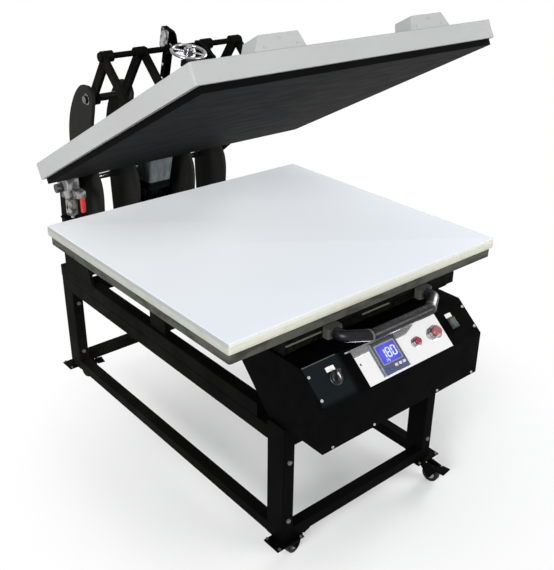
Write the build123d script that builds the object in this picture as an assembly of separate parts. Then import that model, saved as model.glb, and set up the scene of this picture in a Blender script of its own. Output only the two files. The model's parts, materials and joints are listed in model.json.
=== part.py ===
from build123d import *
import math
import os

os.makedirs("parts", exist_ok=True)

# Large format swing-away heat press. All sizes are millimetres.
# X runs across the machine, Y from the operator to the rear, Z up.
# While drawing, Y is counted from the middle of the pad and Z from its top;
# the whole machine is moved onto the floor and centred at the end.

# Table
table_height = 800.0
table_width = 1000.0
table_depth = 920.0
pad_thickness = 31.0
pad_corner = 6.0
plate_thickness = 29.0
plate_inset = 7.5

# Platen
platen_open_angle = 27.3
platen_rear_y = 438.0
platen_rear_z = 137.0
heater_width = 977.0
heater_depth = 907.0
heater_thickness = 17.0
cover_overhang = 13.0
cover_rear_overhang = 8.0
cover_height = 50.0
cover_wall = 2.5
cover_corner = 5.0
terminal_box_near = 178.0
terminal_box_far = 329.0
terminal_box_slant = 13.0
terminal_box_height = 36.0
terminal_box_depth = 58.0

# Pivots of the lifting mechanism, as (y, z)
hinge_pivot = (704.0, 27.0)
tower_pivot = (588.0, 327.5)
toggle_pivot = (476.0, 474.5)
cylinder_pivot = (660.0, -50.0)
rod_head = (503.0, 488.0)
lug_distance = 195.0
lug_height = 30.0

# Planes of the lifting mechanism across the machine, counted from the middle
inner_plane = 113.0
outer_plane = 252.0
mechanism_plate = 12.0
rear_link_thickness = 12.0
hinge_arm_plane = 290.0
upright_plane = 309.0

# Pins, shafts and fits
hinge_shaft_radius = 10.5
hinge_shaft_half_length = 331.0
tower_pin_radius = 12.0
tube_radius = 9.0
lug_pin_radius = 8.0
cylinder_pin_radius = 10.0
link_width = 32.0
eye_radius = 17.0
running_clearance = 0.06
side_gap = 0.4
seat_gap = 0.3
slot_clearance = 0.25

# Lost motion slots that let the linkage loops close, with the travel of the pin
lug_slot_ahead = 16.5
lug_slot_behind = 22.2
lug_slot_angle = 150.35
lug_slot_width_play = 0.8
barrel_slot_travel = 25.9
barrel_slot_angle = 146.86 - 180.0
barrel_slot_width_play = 1.9

# Air cylinder
barrel_size = 94.0
barrel_corner = 12.0
barrel_bore_radius = 40.0
barrel_start = 34.0
barrel_end = 262.0
barrel_cap = 17.0
rod_radius = 8.0
piston_start = 223.5
piston_length = 20.0

# Rod yoke
yoke_half = 20.0
yoke_depth = 44.0
yoke_socket = 24.0
yoke_length = 118.0
yoke_rise = 46.0

# Stand
leg_width = 39.0
leg_depth = 70.0
leg_inner_x = 276.0
front_leg_y = -449.0
rear_leg_y = 733.0
leg_bottom = -722.0
front_leg_top = -332.0
upper_rail_top = -352.0
upper_rail_height = 45.0
bottom_rail_height = 37.0
bearer_height = 45.0
bearer_front_y = -335.0
tube_wall = 3.0
tube_corner = 3.0
crossbeam_height = 65.0
crossbeam_depth = 40.0

# Table subframe and its slide posts
subframe_rail_width = 40.0
subframe_rail_height = 48.0
subframe_front_inset = 20.0
subframe_rear_reach = 96.0
post_width = 20.0
rear_post_y = (126.0, 211.0)
front_post_y = (-330.0, -250.0)

# Handle
grip_radius = 16.0
handle_z = -74.0
handle_half_width = 175.0
handle_grip_half = 112.0
handle_elbow_reach = 50.0
handle_grip_reach = 93.0
handle_foot_width = 52.0
handle_foot_height = 28.0

# Console
console_half_width = 307.0
console_sheet = 2.0
console_top_y = -495.0
console_top_z = -125.0
console_rear_top_y = -174.0
console_lip_y = -584.0
console_lip_z = -201.0
console_bottom_z = -332.0
console_rear_bottom_y = -378.0
panel_sheet = 1.5

# Air inlet, quarter inch thread
inlet_radius = 5.72

# Casters
caster_wheel_radius = 28.0
caster_wheel_width = 21.0
caster_trail = 42.0
caster_rows = (-434.0, 790.0)
kingpin_radius = 5.0
mount_plate = 4.0
mount_plate_width = 98.0
mount_plate_depth = 62.0
mount_bolt_x = 40.0
mount_bolt_y = 27.0
mount_bolt_radius = 3.8
pedal_pivot = (-62.0, 57.0)
pedal_reach = 98.0
pedal_width = 40.0

# Derived sizes used in several places
floor_z = -table_height
cover_top = heater_thickness + cover_height
tilt = math.radians(platen_open_angle)
bearer_top = upper_rail_top + bearer_height
rear_leg_end = rear_leg_y + leg_depth + 1.0
leg_outer_x = leg_inner_x + leg_width
leg_middle_x = leg_inner_x + leg_width / 2
plate_bottom = -pad_thickness - plate_thickness
console_slope = math.degrees(math.atan2(console_top_z - console_lip_z, console_top_y - console_lip_y))

pieces = {}


def block(x0, x1, y0, y1, z0, z1):
    return Pos((x0 + x1) / 2, (y0 + y1) / 2, (z0 + z1) / 2) * Box(abs(x1 - x0), abs(y1 - y0), abs(z1 - z0))


def bar(axis, x0, x1, y0, y1, z0, z1, corner=tube_corner):
    solid = block(x0, x1, y0, y1, z0, z1)
    return fillet(solid.edges().filter_by(axis), corner)


def tube_x(y, z, x0, x1, radius):
    return Pos((x0 + x1) / 2, y, z) * Rot(0, 90, 0) * Cylinder(radius, abs(x1 - x0))


def post(x, y, z0, z1, radius):
    return Pos(x, y, (z0 + z1) / 2) * Cylinder(radius, abs(z1 - z0))


def side_plane(x):
    return Plane(origin=(x, 0, 0), x_dir=(0, 1, 0), z_dir=(1, 0, 0))


def side_plate(outline, x0, x1):
    face = make_face(outline)
    return extrude(side_plane(x0) * face, amount=x1 - x0, dir=(1, 0, 0))


def side_polygon(points, x0, x1):
    return side_plate(Polyline(*points, close=True), x0, x1)


def side_slot(p, q, width, x0, x1):
    length = math.hypot(q[0] - p[0], q[1] - p[1])
    angle = math.degrees(math.atan2(q[1] - p[1], q[0] - p[0]))
    middle = Pos((p[0] + q[0]) / 2, (p[1] + q[1]) / 2)
    sketch = middle * Rot(0, 0, angle) * SlotCenterToCenter(length, width)
    return extrude(side_plane(x0) * sketch, amount=x1 - x0, dir=(1, 0, 0))


def both_sides(solid):
    return [solid, mirror(solid, about=Plane.YZ)]


def group(*items):
    solids = []
    for item in items:
        for entry in (item if isinstance(item, list) else [item]):
            solids.extend(entry.solids())
    return solids[0] if len(solids) == 1 else Compound(solids)


def moved_group(location, items):
    return [location * item for item in items]


def offset_point(point, angle_deg, distance):
    angle = math.radians(angle_deg)
    return (point[0] + distance * math.cos(angle), point[1] + distance * math.sin(angle))


# Stand: two welded side frames with their caster mounting plates and kingpins
def side_frame(side):
    x0 = leg_inner_x if side > 0 else -leg_outer_x
    x1 = x0 + leg_width
    front_leg_end = front_leg_y + leg_depth
    rail_z = leg_bottom + bottom_rail_height
    outer = bar(Axis.Z, x0, x1, front_leg_y, front_leg_end, leg_bottom, front_leg_top)
    outer += bar(Axis.Z, x0, x1, rear_leg_y, rear_leg_end, leg_bottom, upper_rail_top)
    outer += bar(Axis.Y, x0, x1, front_leg_end - tube_corner, rear_leg_y + tube_corner, leg_bottom, rail_z)
    outer += bar(Axis.Y, x0, x1, front_leg_end - tube_corner, rear_leg_y + tube_corner,
                 upper_rail_top - upper_rail_height, upper_rail_top)
    w = tube_wall
    inner = block(x0 + w, x1 - w, front_leg_y + w, front_leg_end - w, leg_bottom + w, front_leg_top - w)
    inner += block(x0 + w, x1 - w, rear_leg_y + w, rear_leg_end - w, leg_bottom + w, upper_rail_top - w)
    inner += block(x0 + w, x1 - w, front_leg_end + w, rear_leg_y - w, leg_bottom + w, rail_z - w)
    inner += block(x0 + w, x1 - w, front_leg_end + w, rear_leg_y - w,
                   upper_rail_top - upper_rail_height + w, upper_rail_top - w)
    frame = outer - inner
    for y in caster_rows:
        x = side * leg_middle_x
        frame += block(x - mount_plate_width / 2, x + mount_plate_width / 2, y - mount_plate_depth / 2,
                       y + mount_plate_depth / 2, leg_bottom - mount_plate, leg_bottom)
        frame += post(x, y, leg_bottom - 15.0, leg_bottom - mount_plate, kingpin_radius)
        frame += post(x, y, leg_bottom - 16.0, leg_bottom - 12.4, kingpin_radius + 3.5)
    return frame


pieces["left_side_frame"] = side_frame(-1)
pieces["right_side_frame"] = side_frame(1)


# Stand: cross rails, bearer rails, crossbeam under the console, tower beams
def cross_tube(y0, y1, z0, z1):
    outer = bar(Axis.X, -leg_inner_x, leg_inner_x, y0, y1, z0, z1)
    w = tube_wall
    return outer - block(-leg_inner_x, leg_inner_x, y0 + w, y1 - w, z0 + w, z1 - w)


def bearer_rail():
    x0 = leg_inner_x - 1.0
    outer = bar(Axis.Y, x0, leg_outer_x, bearer_front_y, rear_leg_end, upper_rail_top, bearer_top)
    w = tube_wall
    core = block(x0 + w, leg_outer_x - w, bearer_front_y + w, rear_leg_end - w,
                 upper_rail_top + w, bearer_top - w)
    return outer - core


def tower_beam(y0, y1):
    x1 = leg_inner_x - 1.0
    outer = bar(Axis.X, -x1, x1, y0, y1, upper_rail_top, bearer_top)
    w = tube_wall
    return outer - block(-x1, x1, y0 + w, y1 - w, upper_rail_top + w, bearer_top - w)


pieces["frame_cross_tubes"] = group(
    cross_tube(front_leg_y, front_leg_y + bottom_rail_height, leg_bottom, leg_bottom + bottom_rail_height),
    cross_tube(rear_leg_end - bottom_rail_height, rear_leg_end, leg_bottom,
               leg_bottom + bottom_rail_height),
    cross_tube(front_leg_y, front_leg_y + crossbeam_depth, front_leg_top - crossbeam_height, front_leg_top))
pieces["bearer_rails"] = group(both_sides(bearer_rail()))
pieces["tower_beams"] = group(tower_beam(600.0, 640.0), tower_beam(rear_leg_y, rear_leg_y + 40.0))


# Tower: crescent side plates
def crescent_plate(plane):
    hy, hz = hinge_pivot
    ty, tz = tower_pivot
    neck = (hy - 140.0, hz + 31.0)
    nose = (ty - 26.0, tz - 17.5)
    brow = (ty + 2.0, tz + 40.5)
    nape = (ty + 38.0, tz + 38.5)
    back = (hy + 39.0, hz + 103.0)
    heel = (hy + 36.0, bearer_top)
    toe = (hy - 104.0, bearer_top)
    front_low = Spline(toe, (hy - 132.0, hz - 177.0), (hy - 146.0, hz - 57.0), (hy - 148.0, hz - 7.0), neck)
    front_mid = Spline(neck, (hy - 124.0, hz + 65.0), (hy - 119.0, hz + 138.0), (ty - 5.0, tz - 87.5),
                       (ty - 19.0, tz - 42.5), nose)
    front_top = Spline(nose, (ty - 30.0, tz + 0.5), (ty - 27.0, tz + 18.5), (ty - 15.0, tz + 33.5), brow)
    head = Line(brow, nape)
    rear = Spline(nape, (ty + 75.0, tz + 12.5), (ty + 105.0, tz - 22.5), (hy + 18.0, hz + 228.0),
                  (hy + 36.0, hz + 168.0), back)
    rear_low = Spline(back, (hy + 39.0, hz - 7.0), (hy + 34.0, hz - 127.0), heel)
    foot = Line(heel, toe)
    x0 = plane - mechanism_plate / 2
    x1 = plane + mechanism_plate / 2
    plate = side_plate([front_low, front_mid, front_top, head, rear, rear_low, foot], x0, x1)
    plate -= tube_x(*tower_pivot, x0, x1, tower_pin_radius + 0.02)
    plate -= tube_x(*hinge_pivot, x0, x1, hinge_shaft_radius + 0.02)
    return plate


pieces["inner_toggle_plates"] = group(both_sides(crescent_plate(inner_plane)))
pieces["outer_toggle_plates"] = group(both_sides(crescent_plate(outer_plane)))

# Tower: hinge uprights, with the tab for the air unit on the left one
upright_x0 = upright_plane - mechanism_plate / 2
upright_x1 = upright_plane + mechanism_plate / 2
upright_boss = 35.0
hinge_y = hinge_pivot[0]
hinge_z = hinge_pivot[1]
upright_outline = [(hinge_y - 132.0, bearer_top), (hinge_y + 56.0, bearer_top),
                   (hinge_y + 56.0, hinge_z - 267.0), (hinge_y + upright_boss - 0.5, hinge_z + 3.0),
                   (hinge_y - upright_boss + 0.5, hinge_z + 3.0)]
upright = side_polygon(upright_outline, upright_x0, upright_x1)
upright += tube_x(*hinge_pivot, upright_x0, upright_x1, upright_boss)
upright += tube_x(*hinge_pivot, upright_x1, upright_x1 + 12.0, 22.0)
upright -= tube_x(*hinge_pivot, upright_x0, upright_x1 + 12.0, hinge_shaft_radius + 0.02)
left_upright = mirror(upright, about=Plane.YZ)
shelf_y0 = hinge_y - 64.0
shelf_y1 = hinge_y - 4.0
shelf_z = hinge_z - 113.0
left_upright += block(-upright_x1 - 26.0, -upright_x1 + 6.0, shelf_y0, shelf_y1, shelf_z, shelf_z + 6.0)
left_upright += side_polygon([(shelf_y0, shelf_z), (shelf_y1, shelf_z), (shelf_y0 + 28.0, shelf_z - 64.0)],
                             -upright_x1 - 4.0, -upright_x1 + 1.0)
left_upright += block(-upright_x1 - 6.0, -upright_x1 + 6.0, hinge_y - 116.0, hinge_y - 20.0, hinge_z + 7.0,
                      hinge_z + 37.0)
pieces["hinge_uprights"] = group(left_upright, upright)

pieces["platen_hinge_shaft"] = tube_x(*hinge_pivot, -hinge_shaft_half_length, hinge_shaft_half_length,
                                      hinge_shaft_radius)

# Tower: pivot pins of the rear links with bolt heads, and the pin of the air cylinder
pin_inner = inner_plane - mechanism_plate / 2
pin_outer = outer_plane + mechanism_plate / 2
tower_pin = tube_x(*tower_pivot, pin_inner - 8.0, pin_outer + 3.0, tower_pin_radius)
tower_pin += tube_x(*tower_pivot, pin_inner - 8.0, pin_inner, 18.0)
tower_pin += tube_x(*tower_pivot, pin_outer, pin_outer + 3.0, 18.0)
bolt_head = side_plane(pin_outer + 3.0) * (Pos(*tower_pivot) * RegularPolygon(13.0, 6))
tower_pin += extrude(bolt_head, amount=9.0, dir=(1, 0, 0))
ear_gap = 16.0
ear_plate = 12.0
ear_face = ear_gap + ear_plate
cylinder_pin = tube_x(*cylinder_pivot, -ear_face - 4.0, ear_face + 4.0, cylinder_pin_radius)
cylinder_pin += tube_x(*cylinder_pivot, -ear_face - 7.0, -ear_face - 1.0, 15.0)
cylinder_pin += tube_x(*cylinder_pivot, ear_face + 1.0, ear_face + 7.0, 15.0)
pieces["pivot_pins"] = group(both_sides(tower_pin), cylinder_pin)

# Tower: bracket under the air cylinder, with a plate that closes the tower behind it
bracket_top = -112.0
foot_y = cylinder_pivot[0]
foot_z = cylinder_pivot[1]
bracket_y0 = foot_y - 50.0
bracket_y1 = foot_y + 64.0
bracket = block(-pin_inner, pin_inner, bracket_y0, bracket_y1, bracket_top - 14.0, bracket_top)
bracket += block(-pin_inner, -pin_inner + 10.0, bracket_y0, bracket_y1, bracket_top - 44.0, bracket_top)
bracket += block(pin_inner - 10.0, pin_inner, bracket_y0, bracket_y1, bracket_top - 44.0, bracket_top)
bracket += block(-pin_inner, pin_inner, bracket_y1, bracket_y1 + 8.0, bearer_top, hinge_z + 63.0)
ear_points = [(foot_y - 32.0, bracket_top - 2.0), (foot_y + 36.0, bracket_top - 2.0),
              (foot_y + 21.0, foot_z), (foot_y - 21.0, foot_z)]
ear = side_polygon(ear_points, ear_gap, ear_gap + ear_plate)
ear += tube_x(*cylinder_pivot, ear_gap, ear_gap + ear_plate, 21.5)
ear -= tube_x(*cylinder_pivot, ear_gap, ear_gap + ear_plate, cylinder_pin_radius + 0.02)
for part in both_sides(ear):
    bracket += part
pieces["cylinder_base_bracket"] = bracket

# Air cylinder: a frame with its own Z along the rod, from the base pivot upward
rod_direction = Vector(0, rod_head[0] - cylinder_pivot[0], rod_head[1] - cylinder_pivot[1]).normalized()
rod_plane = Plane(origin=(0, cylinder_pivot[0], cylinder_pivot[1]), x_dir=(1, 0, 0),
                  z_dir=(rod_direction.X, rod_direction.Y, rod_direction.Z))
rod_length = math.hypot(rod_head[0] - cylinder_pivot[0], rod_head[1] - cylinder_pivot[1])


def square_bar(z0, z1, size, corner):
    return Pos(0, 0, z0) * extrude(RectangleRounded(size, size, corner), amount=z1 - z0)


tube_z0 = barrel_start + barrel_cap
tube_z1 = barrel_end - barrel_cap
barrel_tube = square_bar(tube_z0, tube_z1, barrel_size - 4.0, barrel_corner)
barrel_tube -= Pos(0, 0, (tube_z0 + tube_z1) / 2) * Cylinder(barrel_bore_radius, tube_z1 - tube_z0)
for turn in range(4):
    groove = Pos(0, barrel_size / 2 - 2.0, (tube_z0 + tube_z1) / 2) * Box(30.0, 3.0, tube_z1 - tube_z0)
    barrel_tube -= Rot(0, 0, 90 * turn) * groove
lower_cap = square_bar(barrel_start, tube_z0, barrel_size, barrel_corner)
upper_cap = square_bar(tube_z1, barrel_end, barrel_size, barrel_corner)
upper_cap += Pos(0, 0, barrel_end + 4.0) * Cylinder(24.0, 8.0)
rod_hole = Cylinder(rod_radius + running_clearance, barrel_cap + 10.0)
upper_cap -= Pos(0, 0, (tube_z1 + barrel_end) / 2 + 4.0) * rod_hole
barrel_solids = [rod_plane * solid for solid in (barrel_tube, upper_cap)]
base_eye_far = offset_point(cylinder_pivot, barrel_slot_angle, barrel_slot_travel)
rod_angle = math.degrees(math.atan2(rod_direction.Z, rod_direction.Y))
cap_foot = offset_point(cylinder_pivot, rod_angle, barrel_start - 6.0)
base_eye = side_slot(cylinder_pivot, cap_foot, 44.0, -ear_gap + 1.0, ear_gap - 1.0)
base_eye += side_slot(cylinder_pivot, base_eye_far, 41.0, -ear_gap + 1.0, ear_gap - 1.0)
slot_width = 2 * (cylinder_pin_radius + slot_clearance) + barrel_slot_width_play
slot_from = offset_point(cylinder_pivot, barrel_slot_angle - 90.0, barrel_slot_width_play / 2)
slot_to = offset_point(slot_from, barrel_slot_angle, barrel_slot_travel)
base_eye -= side_slot(slot_from, slot_to, slot_width, -ear_gap, ear_gap)
foot_cap = rod_plane * lower_cap + base_eye
pieces["air_cylinder_barrel"] = group(barrel_solids, foot_cap)

rod_end = rod_length - 16.0
rod = Pos(0, 0, (piston_start + rod_end) / 2) * Cylinder(rod_radius, rod_end - piston_start)
rod += Pos(0, 0, piston_start + piston_length / 2) * Cylinder(barrel_bore_radius - 0.1, piston_length)
socket_bolt = Pos(-yoke_socket / 2 - 1.75, 0, rod_length - 71.5) * Rot(0, 90, 0) * Cylinder(5.0, 3.5)
pieces["cylinder_rod"] = group(rod_plane * rod, rod_plane * socket_bolt)

# Rod yoke: tapered head behind the cross tube, an eye round the tube, and a socket for the rod
head_outline = Polyline((-yoke_half, rod_length + yoke_rise), (2.0, rod_length + yoke_rise),
                        (10.0, rod_length + yoke_rise - 12.0), (yoke_half, rod_length + 2.0),
                        (yoke_half, rod_length - 14.0), (yoke_socket / 2, rod_length - 30.0),
                        (-yoke_socket / 2, rod_length - 30.0), (-yoke_half, rod_length - 14.0), close=True)
yoke_plane = Plane(origin=(0, cylinder_pivot[0], cylinder_pivot[1]), x_dir=(1, 0, 0),
                   z_dir=(0, -rod_direction.Z, rod_direction.Y))
yoke = extrude(yoke_plane * make_face(head_outline), amount=yoke_depth / 2, both=True)
yoke += rod_plane * square_bar(rod_length - yoke_length, rod_length - 28.0, yoke_socket, 2.0)
yoke += side_slot(toggle_pivot, rod_head, 2 * (tube_radius + 4.5), -12.0, 12.0)
rod_seat = Cylinder(rod_radius + 0.03, yoke_length - 15.9)
yoke -= rod_plane * (Pos(0, 0, rod_length - yoke_length / 2 - 8.0) * rod_seat)
yoke -= tube_x(*toggle_pivot, -40.0, 40.0, tube_radius + running_clearance)
pieces["rod_yoke"] = yoke

# Rear links and the cross tube
rear_links = []
outer_link_x1 = outer_plane - mechanism_plate / 2 - side_gap
inner_link_x0 = inner_plane + mechanism_plate / 2 + side_gap
boss_length = 2 * rear_link_thickness
for link_x0, boss_x0 in ((outer_link_x1 - rear_link_thickness, outer_link_x1 - boss_length),
                         (inner_link_x0, inner_link_x0)):
    boss_x1 = boss_x0 + boss_length
    link = side_slot(tower_pivot, toggle_pivot, link_width, link_x0, link_x0 + rear_link_thickness)
    link += tube_x(*tower_pivot, boss_x0, boss_x1, 21.0)
    link += tube_x(*toggle_pivot, boss_x0, boss_x1, eye_radius)
    link -= tube_x(*tower_pivot, boss_x0 - 1.0, boss_x1 + 1.0, tower_pin_radius + running_clearance)
    link -= tube_x(*toggle_pivot, boss_x0 - 1.0, boss_x1 + 1.0, tube_radius + 0.02)
    rear_links += both_sides(link)
pieces["rear_links"] = group(rear_links)

cap_face = outer_plane + mechanism_plate / 2 + side_gap
cross_tube_piece = tube_x(*toggle_pivot, -cap_face - 6.0, cap_face + 6.0, tube_radius)
collar_radius = tube_radius + 5.0
collar_outer = inner_plane - mechanism_plate / 2 - side_gap
for x0, x1 in ((cap_face, cap_face + 6.0), (collar_outer - 5.5, collar_outer),
               (yoke_half + side_gap, yoke_half + 6.0)):
    for collar in both_sides(tube_x(*toggle_pivot, x0, x1, collar_radius)):
        cross_tube_piece += collar
pieces["toggle_cross_tube"] = cross_tube_piece

# Platen, drawn flat and then opened about the rear edge
open_platen = Pos(0, platen_rear_y, platen_rear_z) * Rot(-platen_open_angle, 0, 0)


def open_point(distance, height):
    y = platen_rear_y - distance * math.cos(tilt) + height * math.sin(tilt)
    z = platen_rear_z + distance * math.sin(tilt) + height * math.cos(tilt)
    return (y, z)


heater = block(-heater_width / 2, heater_width / 2, -heater_depth, 0, 0, heater_thickness)
heater = fillet(heater.edges().filter_by(Axis.Z), 4.0)
pieces["heating_plate"] = open_platen * heater

cover_x = heater_width / 2 + cover_overhang
cover_front = -heater_depth - cover_rear_overhang
cover_rear = cover_rear_overhang
cover = bar(Axis.Z, -cover_x, cover_x, cover_front, cover_rear, heater_thickness, cover_top, cover_corner)
cover = fillet(cover.faces().sort_by(Axis.Z)[-1].edges(), 2.0)
cover -= block(-cover_x + cover_wall, cover_x - cover_wall, cover_front + cover_wall,
               cover_rear - cover_wall, heater_thickness, cover_top - cover_wall)
lip = block(-cover_x + 1.0, cover_x - 1.0, cover_front + 1.0, cover_rear - 1.0, heater_thickness,
            heater_thickness + cover_wall)
lip -= block(-heater_width / 2 + 12.0, heater_width / 2 - 12.0, -heater_depth + 12.0, -12.0,
             heater_thickness, heater_thickness + cover_wall)
cover += fillet(lip.edges().filter_by(Axis.Z), 3.0)
pieces["platen_cover"] = open_platen * cover


# Two terminal boxes on the front edge of the cover, with their screws
def terminal_box(side):
    slant = terminal_box_slant
    front = cover_front + 1.0
    base = [(terminal_box_near, cover_top), (terminal_box_far, cover_top),
            (terminal_box_far - slant - 8.0, cover_top + terminal_box_height),
            (terminal_box_near + slant, cover_top + terminal_box_height)]
    face = make_face(Polyline(*[(side * x, z) for x, z in base], close=True))
    plane = Plane(origin=(0, front, 0), x_dir=(1, 0, 0), z_dir=(0, -1, 0))
    box = extrude(plane * face, amount=terminal_box_depth, dir=(0, 1, 0))
    box = fillet(box.edges().filter_by(Axis.Y).group_by(Axis.Z)[-1], 4.0)
    inner = block(side * (terminal_box_near + 22.0), side * (terminal_box_far - 30.0), front + 3.0,
                  front + terminal_box_depth - 3.0, cover_top, cover_top + terminal_box_height - 3.0)
    box -= inner
    screws = []
    for x, z in ((terminal_box_near + 24.0, cover_top + 8.0), (terminal_box_far - 30.0, cover_top + 8.0),
                 (0.5 * (terminal_box_near + terminal_box_far), cover_top + 24.0)):
        screws.append(Pos(side * x, front - 0.9, z) * Rot(90, 0, 0) * Cylinder(2.6, 1.8))
    return [box] + screws


pieces["terminal_covers"] = group(moved_group(open_platen, terminal_box(-1) + terminal_box(1)))

# Hinge arms of the platen, drawn in the open position
hinge_run = hinge_y - platen_rear_y
hinge_rise = hinge_z - platen_rear_z
local_hinge_y = hinge_run * math.cos(tilt) - hinge_rise * math.sin(tilt)
local_hinge_z = hinge_run * math.sin(tilt) + hinge_rise * math.cos(tilt)
arm_x0 = hinge_arm_plane - 6.0
arm_x1 = hinge_arm_plane + 6.0
arm = side_polygon([(-170.0, cover_top), (-170.0, cover_top + 12.0), (20.0, cover_top + 34.0),
                    (local_hinge_y + 8.0, local_hinge_z + 31.0),
                    (local_hinge_y - 6.0, local_hinge_z - 31.0), (cover_rear, cover_top - 24.0),
                    (cover_rear, cover_top)], arm_x0, arm_x1)
arm += block(arm_x0, arm_x1 + 18.0, -170.0, -30.0, cover_top, cover_top + 6.0)
arm += tube_x(local_hinge_y, local_hinge_z, arm_x0, arm_x1, 32.0)
arm += tube_x(local_hinge_y, local_hinge_z, pin_outer + side_gap, upright_x0 - side_gap, 24.0)
arm -= tube_x(local_hinge_y, local_hinge_z, 200.0, 340.0, hinge_shaft_radius + running_clearance)
pieces["platen_hinge_arms"] = group(moved_group(open_platen, both_sides(arm)))

# Slotted lugs on the cover for the front links
lug_pin_height = cover_top + lug_height
slot_local_angle = lug_slot_angle + platen_open_angle


def lug_pair(plane):
    pin = (-lug_distance, lug_pin_height)
    middle = offset_point(pin, slot_local_angle - 90.0, lug_slot_width_play / 2)
    start = offset_point(middle, slot_local_angle + 180.0, lug_slot_behind)
    end = offset_point(middle, slot_local_angle, lug_slot_ahead)
    width = 2 * (lug_pin_radius + slot_clearance) + lug_slot_width_play
    inner_face = plane - mechanism_plate / 2 - 4.0
    outer_face = plane + mechanism_plate / 2 + 4.0
    pair = block(inner_face - 10.0, outer_face + 10.0, pin[0] - 66.0, pin[0] + 58.0, cover_top,
                 cover_top + 5.0)
    for x0, x1 in ((inner_face - 10.0, inner_face), (outer_face, outer_face + 10.0)):
        lug = side_polygon([(pin[0] - 60.0, cover_top + 5.0), (pin[0] + 52.0, cover_top + 5.0),
                            (pin[0] + 43.0, pin[1] + 3.0), (pin[0] + 29.0, pin[1] + 18.0),
                            (pin[0] - 27.0, pin[1] + 20.0), (pin[0] - 43.0, pin[1] + 7.0)], x0, x1)
        pair += lug - side_slot(start, end, width, x0, x1)
    return pair


link_lugs = []
for plane in (inner_plane, outer_plane):
    link_lugs += both_sides(lug_pair(plane))
pieces["link_lugs"] = group(moved_group(open_platen, link_lugs))

# Front links with the pins that run in the lug slots
lug_point = open_point(lug_distance, lug_pin_height)
front_links = []
for plane in (inner_plane, outer_plane):
    x0 = plane - mechanism_plate / 2
    x1 = plane + mechanism_plate / 2
    link = side_slot(toggle_pivot, lug_point, link_width, x0, x1)
    link += tube_x(*toggle_pivot, x0, x1, eye_radius)
    link -= tube_x(*toggle_pivot, x0, x1, tube_radius + running_clearance)
    link += tube_x(*lug_point, x0 - 4.0 + side_gap, x1 + 4.0 - side_gap, 13.0)
    link += tube_x(*lug_point, x0 - 14.0 - side_gap, x1 + 14.0 + side_gap, lug_pin_radius)
    link += tube_x(*lug_point, x0 - 19.0 - side_gap, x0 - 14.0 - side_gap, 13.0)
    link += tube_x(*lug_point, x1 + 14.0 + side_gap, x1 + 19.0 + side_gap, 13.0)
    front_links += both_sides(link)
pieces["front_links"] = group(front_links)

# Pressure screw bracket on the right inner front link. The screw leans toward the operator;
# its frame has the middle of the handwheel as origin and the screw as its Z
wheel_y = 394.0
wheel_z = 474.0
screw_lean = 14.0
nut_bar_top = -28.0
nut_bar_height = 22.0
nut_bar_half = 14.0
nut_bar_left = -15.0
spindle_radius = 8.0
arm_inner = 88.0
arm_outer = 100.0
screw_frame = Pos(0, wheel_y, wheel_z) * Rot(screw_lean, 0, 0)
nut_bar_bottom = nut_bar_top - nut_bar_height
tube_y, tube_z = toggle_pivot
bracket_arm = side_polygon([(tube_y + 10.0, tube_z + 13.0), (tube_y - 8.0, tube_z + 15.0),
                            (wheel_y - 7.0, wheel_z - 23.0), (wheel_y - 5.0, wheel_z - 54.0),
                            (wheel_y + 30.0, wheel_z - 62.0), (tube_y - 20.0, tube_z - 66.0),
                            (tube_y + 2.0, tube_z - 30.0), (tube_y + 14.0, tube_z - 4.0)],
                           arm_inner, arm_outer)
bracket_arm -= tube_x(*toggle_pivot, arm_inner, arm_outer, tube_radius + running_clearance)
link_step = math.atan2(lug_point[1] - tube_z, lug_point[0] - tube_y)
spacer = offset_point(toggle_pivot, math.degrees(link_step), 60.0)
bracket_arm += tube_x(*spacer, arm_outer, inner_plane - mechanism_plate / 2, 9.0)
nut_bar = bar(Axis.X, nut_bar_left, arm_inner + 1.0, -nut_bar_half, nut_bar_half, nut_bar_bottom,
              nut_bar_top)
nut_bar += post(0, 0, nut_bar_bottom - 16.0, nut_bar_bottom, 15.0)
nut_bar -= post(0, 0, nut_bar_bottom - 17.0, nut_bar_top + 1.0, spindle_radius + running_clearance)
pieces["pressure_screw_bracket"] = screw_frame * nut_bar + bracket_arm

# Handwheel with four spokes on the pressure screw
ring_radius = 53.0
ring_wire = 5.0
wheel = Torus(ring_radius, ring_wire)
wheel += post(0, 0, -8.0, 10.0, 15.0)
wheel += post(0, 0, nut_bar_bottom - 38.0, 0.0, spindle_radius)
wheel += post(0, 0, 10.0, 16.0, 9.0)
for turn in range(4):
    spoke = Rot(0, 0, 45 + 90 * turn) * Pos(ring_radius / 2 + 5.0, 0, 0) * Rot(0, 90, 0)
    wheel += spoke * Cylinder(3.6, ring_radius - 12.0)
pieces["handwheel"] = screw_frame * wheel

# Table: soft pad, steel plate, subframe and slide posts
pad = block(-table_width / 2, table_width / 2, -table_depth / 2, table_depth / 2, -pad_thickness, 0)
pad = fillet(pad.edges().filter_by(Axis.Z), pad_corner)
pieces["silicone_pad"] = pad
plate_x = table_width / 2 - plate_inset
plate_y = table_depth / 2 - plate_inset
table_plate = block(-plate_x, plate_x, -plate_y, plate_y, plate_bottom, -pad_thickness)
pieces["table_plate"] = fillet(table_plate.edges().filter_by(Axis.Z), pad_corner)

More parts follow.
